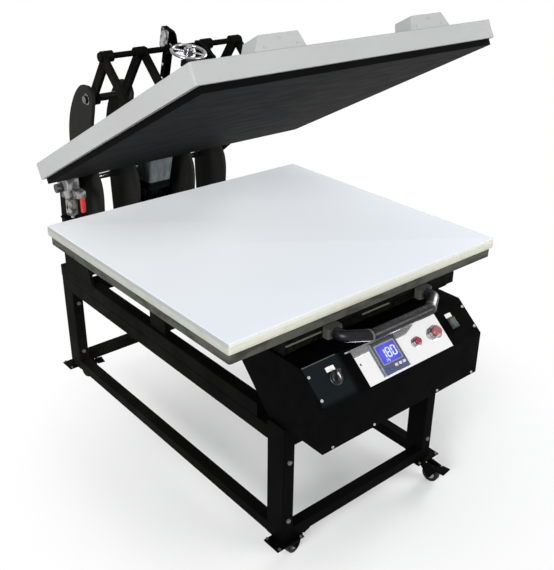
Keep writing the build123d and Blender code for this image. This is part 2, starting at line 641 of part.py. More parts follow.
rail_x = leg_middle_x
rail_bottom = plate_bottom - subframe_rail_height
subframe_rail_front = -table_depth / 2 + subframe_front_inset
subframe_rail_rear = table_depth / 2 + subframe_rear_reach
rail = block(rail_x - subframe_rail_width / 2, rail_x + subframe_rail_width / 2, subframe_rail_front,
             subframe_rail_rear, rail_bottom, plate_bottom)
rail -= block(rail_x - subframe_rail_width / 2 + tube_wall, rail_x + subframe_rail_width / 2 - tube_wall,
              subframe_rail_front + tube_wall, subframe_rail_rear - tube_wall, rail_bottom + tube_wall,
              plate_bottom - tube_wall)
cross_x = rail_x - subframe_rail_width / 2
front_lip_y = -table_depth / 2 + 5.0
front_lip_x = 323.0
lip_bottom = handle_z - 19.0
subframe = rail + mirror(rail, about=Plane.YZ)
subframe += block(-front_lip_x, front_lip_x, front_lip_y, subframe_rail_front, lip_bottom, plate_bottom)
subframe += block(-front_lip_x, -handle_half_width - 28.0, front_lip_y - 4.0, front_lip_y, handle_z + 1.0,
                  handle_z + 4.0)
subframe += block(-handle_half_width + 28.0, handle_half_width - 28.0, front_lip_y - 4.0, front_lip_y,
                  handle_z + 1.0, handle_z + 4.0)
for y0 in (-120.0, 200.0, 420.0):
    subframe += block(-cross_x, cross_x, y0, y0 + 40.0, plate_bottom - 30.0, plate_bottom)
pieces["table_subframe"] = subframe

post_x0 = rail_x - post_width / 2
post_x1 = rail_x + post_width / 2
rear_post = block(post_x0, post_x1, *rear_post_y, bearer_top, rail_bottom - 10.0 - seat_gap)
rear_post += bar(Axis.X, post_x0 - 6.0, post_x1 + 6.0, rear_post_y[0] - 6.0, rear_post_y[1] + 6.0,
                 rail_bottom - 10.0 - seat_gap, rail_bottom - seat_gap, 2.0)
front_post = bar(Axis.X, post_x0 - 6.0, post_x1 - 4.0, *front_post_y, console_top_z,
                 rail_bottom - seat_gap, 2.0)
pieces["slide_posts"] = group(both_sides(rear_post), both_sides(front_post))

# Pull handle
root_y = front_lip_y - 24.0
elbow_y = front_lip_y - handle_elbow_reach
grip_y = front_lip_y - handle_grip_reach
path = Polyline((-handle_half_width, root_y, handle_z), (-handle_half_width, elbow_y, handle_z),
                (-handle_grip_half, grip_y, handle_z), (handle_grip_half, grip_y, handle_z),
                (handle_half_width, elbow_y, handle_z), (handle_half_width, root_y, handle_z))
path = fillet(path.vertices().sort_by(Axis.Y)[0:4], 24.0)
start_plane = Plane(origin=(-handle_half_width, root_y, handle_z), x_dir=(1, 0, 0), z_dir=(0, -1, 0))
grip = sweep(start_plane * Circle(grip_radius), path=path)
foot = Pos(-handle_half_width, (front_lip_y + root_y) / 2, handle_z)
foot *= Box(handle_foot_width, abs(root_y - front_lip_y), handle_foot_height)
foot = fillet(foot.edges().filter_by(Axis.Z), 6.0)
pieces["table_handle"] = group(grip, both_sides(foot))

# Console shell
profile = [(console_lip_y - 1.0, console_bottom_z), (console_lip_y, console_lip_z),
           (console_top_y, console_top_z), (console_rear_top_y, console_top_z), (-269.0, -219.0),
           (-338.0, -292.0), (console_rear_bottom_y, console_bottom_z)]
outer_shell = side_polygon(profile, -console_half_width, console_half_width)
profile_face = make_face(Polyline(*profile, close=True))
inner_face = offset(profile_face, amount=-console_sheet, kind=Kind.INTERSECTION)
inner_x = console_half_width - console_sheet
core = extrude(side_plane(-inner_x) * inner_face, amount=2 * inner_x, dir=(1, 0, 0))
shell = outer_shell - core
pieces["console_shell"] = shell

# Controls lie on the slope: x across, d down the slope from its top edge, h off the sheet
slope_frame = Pos(0, console_top_y, console_top_z) * Rot(console_slope, 0, 0)


def on_slope(solid):
    return slope_frame * solid


def slope_block(x0, x1, d0, d1, h0, h1):
    return block(x0, x1, -d1, -d0, h0, h1)


def slope_disc(x, d, h0, h1, radius):
    return post(x, -d, h0, h1, radius)


panel = slope_block(-144.0, 184.0, 8.0, 115.0, 0, panel_sheet)
panel += slope_block(-163.0, -144.0, 8.0, 12.0, 0, panel_sheet)
pieces["control_panel"] = on_slope(panel)

controller_x = -39.0
controller_d = 63.0
controller_size = 94.0
controller_rise = 8.5
half = controller_size / 2
controller = slope_block(controller_x - half, controller_x + half, controller_d - half, controller_d + half,
                         panel_sheet, controller_rise)
controller = chamfer(controller.faces().sort_by(Axis.Z)[-1].edges(), 2.5)
display_box = (controller_x - 34.0, controller_x + 34.0, controller_d - 33.0, controller_d + 17.0)
controller -= slope_block(*display_box, controller_rise - 1.2, controller_rise)
key_width = 10.0
key_depth = 8.0
key_d = controller_d + 30.0
key_columns = (controller_x + 2.0, controller_x + 17.0, controller_x + 32.0)
key_travel = 0.8
for x in key_columns:
    controller -= slope_block(x - key_width / 2 - 0.3, x + key_width / 2 + 0.3, key_d - key_depth / 2 - 0.3,
                              key_d + key_depth / 2 + 0.3, controller_rise - 3.0, controller_rise)
pieces["temperature_controller"] = on_slope(controller)
pieces["controller_display"] = on_slope(
    slope_block(display_box[0] + 0.3, display_box[1] - 0.3, display_box[2] + 0.3, display_box[3] - 0.3,
                controller_rise - 1.2, controller_rise - 0.3))
for name, x in zip(("left_controller_key", "middle_controller_key", "right_controller_key"), key_columns):
    key = slope_block(x - key_width / 2, x + key_width / 2, key_d - key_depth / 2, key_d + key_depth / 2,
                      controller_rise - 3.0 + key_travel + seat_gap, controller_rise + 1.6)
    key = fillet(key.edges().filter_by(Axis.Z), 1.5)
    pieces[name] = on_slope(fillet(key.faces().sort_by(Axis.Z)[-1].edges(), 0.5))

# Push buttons, rocker and selector on the slope
small_button = (72.0, 62.0)
large_button = (147.0, 60.0)
button_travel = 2.0


def bezel(x, d, outer, hole, rise):
    ring = slope_disc(x, d, panel_sheet, rise, outer)
    ring = chamfer(ring.faces().sort_by(Axis.Z)[-1].edges(), 1.2)
    return ring - slope_disc(x, d, panel_sheet, rise + 1.0, hole)


small_bezel = bezel(*small_button, 14.0, 10.3, 9.0)
large_bezel = bezel(*large_button, 20.0, 15.3, 11.0)
selector_place = (-225.0, 57.0)
selector_bezel = slope_disc(*selector_place, 0.0, 3.0, 19.0)
selector_bezel = chamfer(selector_bezel.faces().sort_by(Axis.Z)[-1].edges(), 1.0)
selector_bezel -= slope_disc(*selector_place, 1.5, 4.0, 8.1)
pieces["button_bezels"] = group(moved_group(slope_frame, [small_bezel, large_bezel]))


def button(x, d, radius, floor, top, dome):
    cap = slope_disc(x, d, floor, top, radius)
    return fillet(cap.faces().sort_by(Axis.Z)[-1].edges(), dome)


button_floor = panel_sheet + button_travel + seat_gap
pieces["small_red_button"] = on_slope(button(*small_button, 10.0, button_floor, 15.0, 2.5))
pieces["large_red_button"] = on_slope(button(*large_button, 15.0, button_floor, 21.0, 3.5))

switch_place = (230.0, 58.0)
switch_half = (11.0, 14.0)
rocker_axis_h = 4.5
switch_x, switch_d = switch_place
half_x, half_d = switch_half
switch_frame = slope_block(switch_x - half_x - 2.5, switch_x + half_x + 2.5, switch_d - half_d - 2.5,
                           switch_d + half_d + 2.5, 0.0, 6.5)
switch_frame -= slope_block(switch_x - half_x - 0.4, switch_x + half_x + 0.4, switch_d - half_d - 0.5,
                            switch_d + half_d + 0.5, 1.0, 7.0)
switch_frame = chamfer(switch_frame.faces().sort_by(Axis.Z)[-1].outer_wire().edges(), 1.0)
rocker_profile = [(-half_d + 0.2, 4.6), (-half_d + 0.2, 10.4), (0.0, 7.4), (half_d - 0.6, 9.4),
                  (half_d - 0.6, 6.2), (3.0, 2.0), (-3.0, 2.0)]
rocker_half = half_x - 0.4
rocker = side_polygon([(y - switch_d, z) for y, z in rocker_profile], switch_x - rocker_half,
                      switch_x + rocker_half)
rocker += tube_x(-switch_d, rocker_axis_h, switch_x - rocker_half - 0.5, switch_x + rocker_half + 0.5, 3.0)
pieces["green_rocker_switch"] = on_slope(rocker)

selector = slope_disc(*selector_place, 1.8, 3.2, 8.0)
selector += slope_disc(*selector_place, 3.2 + side_gap, 9.0, 16.0)
selector += slope_disc(*selector_place, 3.0, 9.0, 8.0)
selector = chamfer(selector.faces().sort_by(Axis.Z)[-1].edges(), 1.0)
pointer = Pos(selector_place[0], -selector_place[1], 0) * Rot(0, 0, -35) * Pos(0, 3.0, 0) * block(
    -4.5, 4.5, -18.0, 18.0, 9.0, 19.0)
pointer = chamfer(pointer.faces().sort_by(Axis.Z)[-1].edges(), 1.5)
pieces["selector_switch"] = on_slope(selector + pointer)

selector_label = slope_block(-241.0, -213.0, 22.0, 35.0, 0.0, 1.0)
switch_label = slope_block(218.0, 242.0, 27.0, 40.0, 0.0, 1.0)
pieces["label_plates"] = group(moved_group(slope_frame, [selector_label, switch_label]))

pieces["switch_mounts"] = group(moved_group(slope_frame, [selector_bezel, switch_frame]))


# Machine screws of the console, leg bolts and cover screws
def pan_screw(x, d):
    return slope_disc(x, d, 0, 2.2, 4.0)


screws = moved_group(slope_frame, [pan_screw(x, d) for x in (-298.0, 298.0) for d in (27.0, 92.0)])
for x in (-273.0, -122.0, 131.0, 283.0):
    screws.append(Pos(x, console_lip_y - 2.25, -323.0) * Rot(90, 0, 0) * Cylinder(3.5, 2.4))
leg_bolts = []
for leg_y in (front_leg_y, rear_leg_y):
    for z in (leg_bottom + 74.0, upper_rail_top - 93.0):
        bolt = Pos(leg_middle_x, leg_y - 2.5, z) * Rot(90, 0, 0) * Cylinder(6.5, 5.0)
        leg_bolts += both_sides(bolt)
for row_y in caster_rows:
    for x in (leg_middle_x - mount_bolt_x, leg_middle_x + mount_bolt_x):
        for y in (row_y - mount_bolt_y, row_y + mount_bolt_y):
            leg_bolts += both_sides(post(x, y, leg_bottom, leg_bottom + 4.0, mount_bolt_radius))
pieces["machine_screws"] = group(screws, leg_bolts)

# Air preparation unit at the rear left
unit_x1 = -upright_x1 - 6.0
unit_x0 = unit_x1 - 44.0
unit_x = (unit_x0 + unit_x1) / 2
unit_y = hinge_y - 104.0
unit_knob_y = unit_y + 12.0
regulator = bar(Axis.Z, unit_x0, unit_x1, unit_y - 28.0, unit_y + 28.0, 18.0, 84.0, 6.0)
regulator += post(unit_x, unit_y, 84.0, 96.0, 17.0)
regulator += block(unit_x - 8.0, unit_x + 21.0, unit_y - 66.0, unit_y - 26.0, 30.0, 52.0)
regulator += Pos(unit_x, unit_y + 34.0, 42.0) * Rot(90, 0, 0) * Cylinder(10.0, 16.0)
regulator -= Pos(unit_x, unit_y + 36.0, 42.0) * Rot(90, 0, 0) * Cylinder(inlet_radius, 12.0)
pieces["filter_regulator"] = regulator
bowl = post(unit_x, unit_y, -44.0, 18.0, 19.0)
bowl = fillet(bowl.faces().sort_by(Axis.Z)[0].edges(), 7.0)
for turn in range(6):
    bowl -= Pos(unit_x, unit_y, -8.0) * Rot(0, 0, 60 * turn + 15) * Pos(18.0, 0, 0) * Box(5.0, 5.0, 28.0)
bowl += post(unit_x, unit_y, -54.0, -44.0, 6.0)
pieces["filter_bowl"] = bowl
capsule = post(unit_x + 12.0, unit_y - 57.0, -22.0, 30.0, 8.5)
pieces["red_drain_capsule"] = fillet(capsule.faces().sort_by(Axis.Z)[0].edges(), 4.0)
knob = Pos(unit_x0 - 11.0 - seat_gap, unit_knob_y, 52.0) * Rot(0, 90, 0) * Cylinder(15.0, 22.0)
for turn in range(12):
    flute = Pos(unit_x0 - 11.0 - seat_gap, unit_knob_y, 52.0) * Rot(30 * turn, 0, 0) * Pos(0, 15.6, 0)
    knob -= flute * Rot(0, 90, 0) * Cylinder(1.8, 24.0)
pieces["pressure_regulator_knob"] = knob


# Casters: fork, wheel and brake pedal, each turned to its own heading
def caster(name, x, y, heading):
    place = Pos(x, y, floor_z) * Rot(0, 0, heading)
    top = leg_bottom - mount_plate - floor_z
    axle_z = caster_wheel_radius
    disc_top = top - seat_gap
    fork = post(0, 0, disc_top - 6.0, disc_top, 22.0)
    pedal_y, pedal_z = pedal_pivot
    cheek_points = [(20.0, disc_top - 5.0), (-20.0, disc_top - 1.0), (pedal_y - 6.0, pedal_z + 5.0),
                    (pedal_y - 6.0, pedal_z - 6.0), (-caster_trail - 9.0, axle_z),
                    (-caster_trail + 9.0, axle_z - 2.0), (-6.0, disc_top - 18.0)]
    for side in (-1, 1):
        x0 = side * (caster_wheel_width / 2 + 4.0)
        x1 = x0 + side * 2.5
        cheek = side_polygon(cheek_points, min(x0, x1), max(x0, x1))
        cheek += tube_x(-caster_trail, axle_z, min(x0, x1), max(x0, x1), 9.0)
        fork += cheek
    reach = caster_wheel_width / 2 + 6.5
    fork += tube_x(-caster_trail, axle_z, -reach - 2.0, reach + 2.0, 4.0)
    fork += tube_x(pedal_y, pedal_z, -reach, reach, 2.0)
    fork -= post(0, 0, disc_top - 7.0, disc_top + 1.0, kingpin_radius + running_clearance)
    pieces[name + "_caster_fork"] = place * fork
    wheel_disc = Cylinder(caster_wheel_radius, caster_wheel_width)
    tire = fillet(wheel_disc.edges().filter_by(GeomType.CIRCLE), 3.5)
    tire -= Pos(0, 0, caster_wheel_width / 2) * Cylinder(17.0, 4.0)
    tire -= Pos(0, 0, -caster_wheel_width / 2) * Cylinder(17.0, 4.0)
    tire += Cylinder(8.0, caster_wheel_width + 4.0)
    tire -= Cylinder(4.0 + running_clearance, caster_wheel_width + 10.0)
    pieces[name + "_caster_wheel"] = place * Pos(0, -caster_trail, axle_z) * Rot(0, 90, 0) * tire
    pedal = tube_x(pedal_y, pedal_z, -12.0, 12.0, 4.6)
    pedal += block(-12.0, 12.0, pedal_y - 10.0, pedal_y + 4.0, pedal_z - 0.5, pedal_z + 3.0)
    pedal += block(-pedal_width / 2, pedal_width / 2, -pedal_reach, pedal_y - 8.5, pedal_z - 0.5,
                   pedal_z + 3.0)
    pedal -= tube_x(pedal_y, pedal_z, -13.0, 13.0, 2.0 + running_clearance)
    pieces[name + "_caster_pedal"] = place * pedal


caster("front_left", -leg_middle_x, caster_rows[0], 102.0)
caster("front_right", leg_middle_x, caster_rows[0], 8.0)
caster("rear_left", -leg_middle_x, caster_rows[1], 80.0)
caster("rear_right", leg_middle_x, caster_rows[1], 15.0)

# Put the machine on the floor, centred, and write one file per piece
everything = Compound([solid for piece in pieces.values() for solid in piece.solids()])
box = everything.bounding_box()
shift = Location((0, -(box.min.Y + box.max.Y) / 2, -floor_z))
print("y shift", round(shift.position.Y, 4), "bbox", box.size, "nodes", len(pieces))
for name, piece in pieces.items():
    export_step(piece.moved(shift), f"parts/{name}.step")
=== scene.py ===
import json
import math

import bmesh
import bpy
from mathutils import Matrix, Vector, noise


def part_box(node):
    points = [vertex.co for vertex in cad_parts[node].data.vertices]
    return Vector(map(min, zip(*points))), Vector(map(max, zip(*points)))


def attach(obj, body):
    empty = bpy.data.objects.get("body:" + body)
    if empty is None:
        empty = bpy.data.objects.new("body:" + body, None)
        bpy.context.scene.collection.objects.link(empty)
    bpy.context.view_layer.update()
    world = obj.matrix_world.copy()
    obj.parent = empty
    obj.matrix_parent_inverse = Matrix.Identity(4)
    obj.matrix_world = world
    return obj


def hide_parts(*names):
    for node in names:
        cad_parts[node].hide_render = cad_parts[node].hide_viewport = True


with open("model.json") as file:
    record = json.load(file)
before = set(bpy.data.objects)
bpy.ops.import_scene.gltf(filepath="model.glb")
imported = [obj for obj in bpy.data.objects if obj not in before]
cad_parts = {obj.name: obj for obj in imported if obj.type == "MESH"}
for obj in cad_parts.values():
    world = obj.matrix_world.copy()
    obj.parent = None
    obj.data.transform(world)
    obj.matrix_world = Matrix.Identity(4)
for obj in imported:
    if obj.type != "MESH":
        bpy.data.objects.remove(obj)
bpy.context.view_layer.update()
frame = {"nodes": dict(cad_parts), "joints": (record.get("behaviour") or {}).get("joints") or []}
nodes = frame["nodes"]

MM = 0.001
UP = Vector((0, 0, 1))


# Places read from the frame

def centre(node):
    low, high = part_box(node)
    return (low + high) / 2


def joint(name):
    return next(j for j in frame["joints"] if j["name"] == name)


pad_low, pad_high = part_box("silicone_pad")
PAD_CENTRE = Vector(((pad_low.x + pad_high.x) / 2, (pad_low.y + pad_high.y) / 2, pad_high.z))


# Console frame of reference: across, down the slope and out of it

slope_axis = Vector(joint("large_button_press")["axis"]).normalized() * -1
slope_down = Vector((1, 0, 0)).cross(slope_axis).normalized()
SLOPE_TOP = PAD_CENTRE + Vector((0, -495, -125)) * MM


# Camera: the photograph's viewpoint, given from the middle of the pad's top

CAMERA_FROM_PAD = Vector((-1446.46, -1736.31, 939.76)) * MM
CAMERA_AZIMUTH = math.radians(40.50)
CAMERA_TILT_DOWN = math.radians(26.34)
CAMERA_ROLL = math.radians(0.75)
CAMERA_LENS = 50.99
FILM_WIDTH = 36.0
CAMERA_REACH = 60.0


def add_camera():
    forward = Vector((math.sin(CAMERA_AZIMUTH) * math.cos(CAMERA_TILT_DOWN),
                      math.cos(CAMERA_AZIMUTH) * math.cos(CAMERA_TILT_DOWN), -math.sin(CAMERA_TILT_DOWN)))
    right = forward.cross(UP).normalized()
    above = right.cross(forward)
    rolled_right = right * math.cos(CAMERA_ROLL) + above * math.sin(CAMERA_ROLL)
    rolled_up = above * math.cos(CAMERA_ROLL) - right * math.sin(CAMERA_ROLL)
    data = bpy.data.cameras.new("photo_camera")
    data.sensor_width = FILM_WIDTH
    data.lens = CAMERA_LENS
    data.clip_end = CAMERA_REACH
    camera = bpy.data.objects.new("photo_camera", data)
    bpy.context.scene.collection.objects.link(camera)
    turn = Matrix((rolled_right, rolled_up, -forward)).transposed().to_4x4()
    camera.matrix_world = Matrix.Translation(PAD_CENTRE + CAMERA_FROM_PAD) @ turn
    bpy.context.scene.camera = camera


# Shader maths

class Value:
    """A shader socket that can be used in an expression."""

    def __init__(self, finish, socket):
        self.finish = finish
        self.socket = socket

    def math(self, operation, *others):
        return self.finish.node("ShaderNodeMath", {"operation": operation}, [self, *others])

    def __add__(self, other):
        return self.math("ADD", other)

    __radd__ = __add__

    def __mul__(self, other):
        return self.math("MULTIPLY", other)

    __rmul__ = __mul__

    def __sub__(self, other):
        return self.math("SUBTRACT", other)

    def __rsub__(self, other):
        return self * -1 + other

    def __abs__(self):
        return self.math("ABSOLUTE")

    def above(self, edge, soft=0.0005):
        return self.step(edge - soft, edge + soft)

    def below(self, edge, soft=0.0005):
        return 1 - self.above(edge, soft)

    def between(self, low, high, soft=0.0005):
        return self.above(low, soft) * self.below(high, soft)

    def step(self, start, end, low=0.0, high=1.0):
        inputs = {"Value": self, "From Min": start, "From Max": end, "To Min": low, "To Max": high}
        return self.finish.node("ShaderNodeMapRange", {"interpolation_type": "SMOOTHSTEP"}, inputs)


class Shading:
    """A shader tree: every node is added and fed here."""

    def __init__(self, tree):
        self.tree = tree

    def feed(self, socket, value):
        if isinstance(value, Value):
            self.tree.links.new(value.socket, socket)
        elif isinstance(value, (tuple, list)) and len(value) == 3 and socket.type == "RGBA":
            socket.default_value = (*value, 1.0)
        else:
            socket.default_value = value

    def node(self, kind, settings, inputs, output=0):
        made = self.tree.nodes.new(kind)
        for key, value in settings.items():
            setattr(made, key, value)
        for key, value in (inputs.items() if isinstance(inputs, dict) else enumerate(inputs)):
            self.feed(made.inputs[key], value)
        return Value(self, made.outputs[output])

    def seen_directly(self):
        """One where the camera, a mirror or glass looks, and zero where light falls."""
        path = self.tree.nodes.new("ShaderNodeLightPath")
        rays = ("Is Camera Ray", "Is Glossy Ray", "Is Transmission Ray")
        camera, mirror, glass = (Value(self, path.outputs[ray]) for ray in rays)
        return camera.math("MAXIMUM", mirror).math("MAXIMUM", glass)


class Finish(Shading):
    """A node material with its principled shader."""

    def __init__(self, name, colour, roughness=0.5, metallic=0.0, specular=0.5, coat=0.0):
        self.material = bpy.data.materials.new(name)
        self.material.use_nodes = True
        super().__init__(self.material.node_tree)
        self.shader = next(n for n in self.tree.nodes if n.type == "BSDF_PRINCIPLED")
        self.set("Base Color", colour)
        self.set("Roughness", roughness)
        self.set("Metallic", metallic)
        self.set("Specular IOR Level", specular)
        self.set("Coat Weight", coat)
        self.coordinates = self.node("ShaderNodeTexCoord", {}, {}, "Object")

    def set(self, socket, value):
        self.feed(self.shader.inputs[socket], value)

    def noise(self, scale, detail, stretch=(1, 1, 1)):
        place = self.node("ShaderNodeMapping", {}, {"Vector": self.coordinates, "Scale": stretch})
        return self.node("ShaderNodeTexNoise", {}, {"Vector": place, "Scale": scale, "Detail": detail}, "Fac")

    def cells(self, scale):
        return self.node("ShaderNodeTexVoronoi", {}, {"Vector": self.coordinates, "Scale": scale}, "Distance")

    def axes(self):
        split = self.tree.nodes.new("ShaderNodeSeparateXYZ")
        self.feed(split.inputs[0], self.coordinates)
        return [Value(self, socket) for socket in split.outputs]

    def slope(self):
        """Across the console, down its slope and out of it, in metres."""
        x, y, z = self.axes()
        y, z = y - SLOPE_TOP.y, z - SLOPE_TOP.z
        return x, y * slope_down.y + z * slope_down.z, y * slope_axis.y + z * slope_axis.z

    def facing(self, axis):
        normal = self.node("ShaderNodeNewGeometry", {}, {}, "Normal")
        return self.node("ShaderNodeSeparateXYZ", {}, [normal], axis)

    def mix(self, factor, first, second):
        made = self.tree.nodes.new("ShaderNodeMix")
        made.data_type = "RGBA"
        self.feed(made.inputs["Factor"], factor)
        colours = [s for s in made.inputs if s.type == "RGBA"]
        self.feed(colours[0], first)
        self.feed(colours[1], second)
        return Value(self, next(s for s in made.outputs if s.type == "RGBA"))

    def bump(self, height, distance, strength, under=None):
        inputs = {"Height": height, "Distance": distance, "Strength": strength}
        if under is not None:
            inputs["Normal"] = under
        return self.node("ShaderNodeBump", {}, inputs)


# Finishes

COAT_BLACK = (0.0013, 0.0013, 0.0013)
COAT_DUST = (0.0080, 0.0078, 0.0068)
PATCHES_WEAK_Y = -0.50
PATCHES_STRONG_Y = 0.20


def powder_coat(name, colour=COAT_BLACK, dust=COAT_DUST, gloss=0.46):
    """Satin black powder coat with orange peel, and grey patches that get stronger toward the rear of the
    machine.
    """
    coat = Finish(name, colour, gloss, specular=0.009)
    _, y, _ = coat.axes()
    rearward = y.step(PATCHES_WEAK_Y, PATCHES_STRONG_Y, 0.10, 1.0)
    cloud = coat.noise(4.5, 4.0).step(0.38, 0.66, 0.35, 1.0)
    grit = coat.noise(75, 4.0).step(0.34, 0.74, 0.55, 1.0)
    dusty = rearward * cloud * grit
    coat.set("Base Color", coat.mix(dusty, colour, dust))
    coat.set("Roughness", coat.noise(14, 3.0).step(0.3, 0.7, gloss - 0.07, gloss + 0.12) + dusty * 0.1)
    peel = coat.bump(coat.noise(620, 2.0), 0.00022, 0.35)
    coat.set("Normal", coat.bump(coat.noise(9, 2.0), 0.0006, 0.12, peel))
    return coat


SWITCH_PLATE_LEFT = -304 * MM
SWITCH_PLATE_RIGHT = -186 * MM
SWITCH_PLATE_TOP = 1 * MM
SWITCH_PLATE_FOOT = 108 * MM
SWITCH_PLATE_FADE = 12 * MM
HIGHLIGHT_EDGE_RIGHT = -190 * MM
HIGHLIGHT_EDGE_ABOVE = -2.2 * MM


def console_coat():
    """Black coat with the bluish switch plate at the left of the slope, and a painted highlight along the
    plate's upper edge.
    """
    plain, worn = (0.0009, 0.0009, 0.0009), (0.0020, 0.0020, 0.0020)
    coat = powder_coat("console_coat", plain, worn, 0.42)
    x, down, out = coat.slope()
    across = x.above(SWITCH_PLATE_LEFT) * x.below(SWITCH_PLATE_RIGHT, SWITCH_PLATE_FADE)
    along = down.above(SWITCH_PLATE_TOP) * down.below(SWITCH_PLATE_FOOT, SWITCH_PLATE_FADE)
    on_plate = across * along * out.above(-4 * MM)
    # Painted highlight: a bright line along the upper edge of the switch plate.
    edge = x.between(SWITCH_PLATE_LEFT, HIGHLIGHT_EDGE_RIGHT)
    edge = edge * down.between(HIGHLIGHT_EDGE_ABOVE, SWITCH_PLATE_TOP, 0.3 * MM) * out.above(-1.2 * MM)
    tone = coat.noise(30, 3.0).step(0.3, 0.7)
    colour = coat.mix(on_plate, coat.mix(tone * 0.5, plain, worn), (0.0068, 0.0092, 0.0102))
    coat.set("Base Color", coat.mix(edge, colour, (0.10, 0.105, 0.095)))
    return coat.material


HIGHLIGHT_SPANS = ((-0.335, -0.200), (-0.058, 0.046))
LEDGE_DEPTH = 3.6 * MM


def subframe_coat():
    """Black coat with two painted highlights, bright lengths along the ledge under the front edge of the
    table.
    """
    coat = powder_coat("subframe_coat")
    x, y, _ = coat.axes()
    first, second = (x.between(start, end, 0.002) for start, end in HIGHLIGHT_SPANS)
    # Painted highlight: the bright lengths on the ledge face are light catching it, painted into the colour.
    bare = y.below(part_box("table_subframe")[0].y + LEDGE_DEPTH, 0.2 * MM) * (first + second)
    shade = coat.noise(90, 3.0).step(0.3, 0.7)
    coated = coat.mix(shade * 0.5, COAT_BLACK, COAT_DUST)
    coat.set("Base Color", coat.mix(bare, coated, (0.085, 0.085, 0.068)))
    return coat.material


def crescent_coat():
    """Olive black coat of the lifting plates, duller than the frame."""
    plain, worn = (0.0160, 0.0162, 0.0150), (0.0220, 0.0222, 0.0205)
    return powder_coat("crescent_coat", plain, worn, 0.52).material


def pin_steel():
    """Blackened pivot pins whose turned ends stay bare."""
    blackened = (0.003, 0.003, 0.003)
    steel = Finish("pin_steel", blackened, 0.35, specular=0.1)
    ends = abs(steel.facing("X")).above(0.5, 0.1)
    turned = steel.noise(260, 3.0).step(0.40, 0.62)
    bare = steel.mix(turned, (0.17, 0.17, 0.17), (0.022, 0.022, 0.022))
    steel.set("Base Color", steel.mix(ends, blackened, bare))
    steel.set("Roughness", turned.step(0.2, 0.8, 0.28, 0.5))
    return steel.material


CONSOLE_DEPTH = 115 * MM


def screw_steel():
    """Plated screws: bright on the console, darker on the legs."""
    steel = Finish("screw_steel", (0.30, 0.30, 0.30), 0.4, 0.3, specular=0.3)
    _, y, _ = steel.axes()
    marks = steel.noise(180, 4.0).step(0.35, 0.7)
    on_legs = y.above(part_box("console_shell")[0].y + CONSOLE_DEPTH, 4 * MM)
    bright = steel.mix(marks, (0.46, 0.46, 0.46), (0.26, 0.26, 0.26))
    dull = steel.mix(marks, (0.125, 0.125, 0.125), (0.050, 0.050, 0.050))
    steel.set("Base Color", steel.mix(on_legs, bright, dull))
    steel.set("Roughness", marks.step(0.1, 0.9, 0.34, 0.6))
    return steel.material


YOKE_HEAD_ABOVE_PAD = 462 * MM


def yoke_steel():
    """Black rod yoke whose head has a speckled silver left face: polished metal with a painted highlight
    where the light falls.
    """
    steel = powder_coat("yoke_steel")
    left = (steel.facing("X") * -1).above(0.85, 0.05)
    _, _, height = steel.axes()
    head = height.above(PAD_CENTRE.z + YOKE_HEAD_ABOVE_PAD, 4 * MM)
    speckle = steel.noise(75, 5.0).step(0.38, 0.66)
    # Painted highlight: the left face of the head is painted speckled silver, over polished metal.
    silver = steel.mix(speckle, (0.34, 0.34, 0.335), (0.035, 0.035, 0.035))
    steel.set("Base Color", steel.mix(left * head, COAT_BLACK, silver))
    return steel.material


def cover_paint():
    """Light grey enamel on folded sheet, a little uneven."""
    pale, shade = (0.326, 0.327, 0.328), (0.308, 0.308, 0.307)
    paint = Finish("cover_paint", pale, 0.5, specular=0.12)
    paint.set("Base Color", paint.mix(paint.noise(2.2, 4.0).step(0.35, 0.75), pale, shade))
    paint.set("Roughness", paint.noise(20, 3.0).step(0.3, 0.7, 0.42, 0.56))
    ripple = paint.bump(paint.noise(5, 2.0), 0.0012, 0.10)
    paint.set("Normal", paint.bump(paint.noise(700, 2.0), 0.0001, 0.25, ripple))
    return paint.material


def heater_coating():
    """Near-black release coating, darker on the edge of the plate, with faint rolling streaks."""
    dark, rubbed, edge = (0.0048, 0.0048, 0.0051), (0.0062, 0.0062, 0.0066), (0.0016, 0.0016, 0.0016)
    coat = Finish("heater_coating", dark, 0.6, specular=0.02)
    streaks = coat.noise(40, 4.0, (0.3, 1, 1))
    face = coat.mix(streaks.step(0.45, 0.8) * 0.3, dark, rubbed)
    coat.set("Base Color", coat.mix((coat.facing("Z") * -1).step(0.35, 0.6), edge, face))
    coat.set("Roughness", streaks.step(0.3, 0.7, 0.56, 0.64))
    coat.set("Normal", coat.bump(coat.noise(420, 3.0), 0.0001, 0.25))
    return coat.material


def table_plate_metal():
    """Olive grey milled plate with oil-stained edges."""
    base, stain = (0.054, 0.055, 0.045), (0.027, 0.027, 0.022)
    plate = Finish("table_plate_metal", base, 0.55, 0.0, specular=0.08)
    stains = plate.noise(16, 5.0, (1, 1, 3)).step(0.42, 0.68)
    plate.set("Base Color", plate.mix(stains, base, stain))
    plate.set("Roughness", plate.noise(70, 3.0).step(0.3, 0.7, 0.48, 0.66))
    plate.set("Normal", plate.bump(plate.noise(260, 3.0, (0.2, 0.2, 1)), 0.0002, 0.3))
    return plate.material


PAD_SKIN_DEPTH = 10.5 * MM


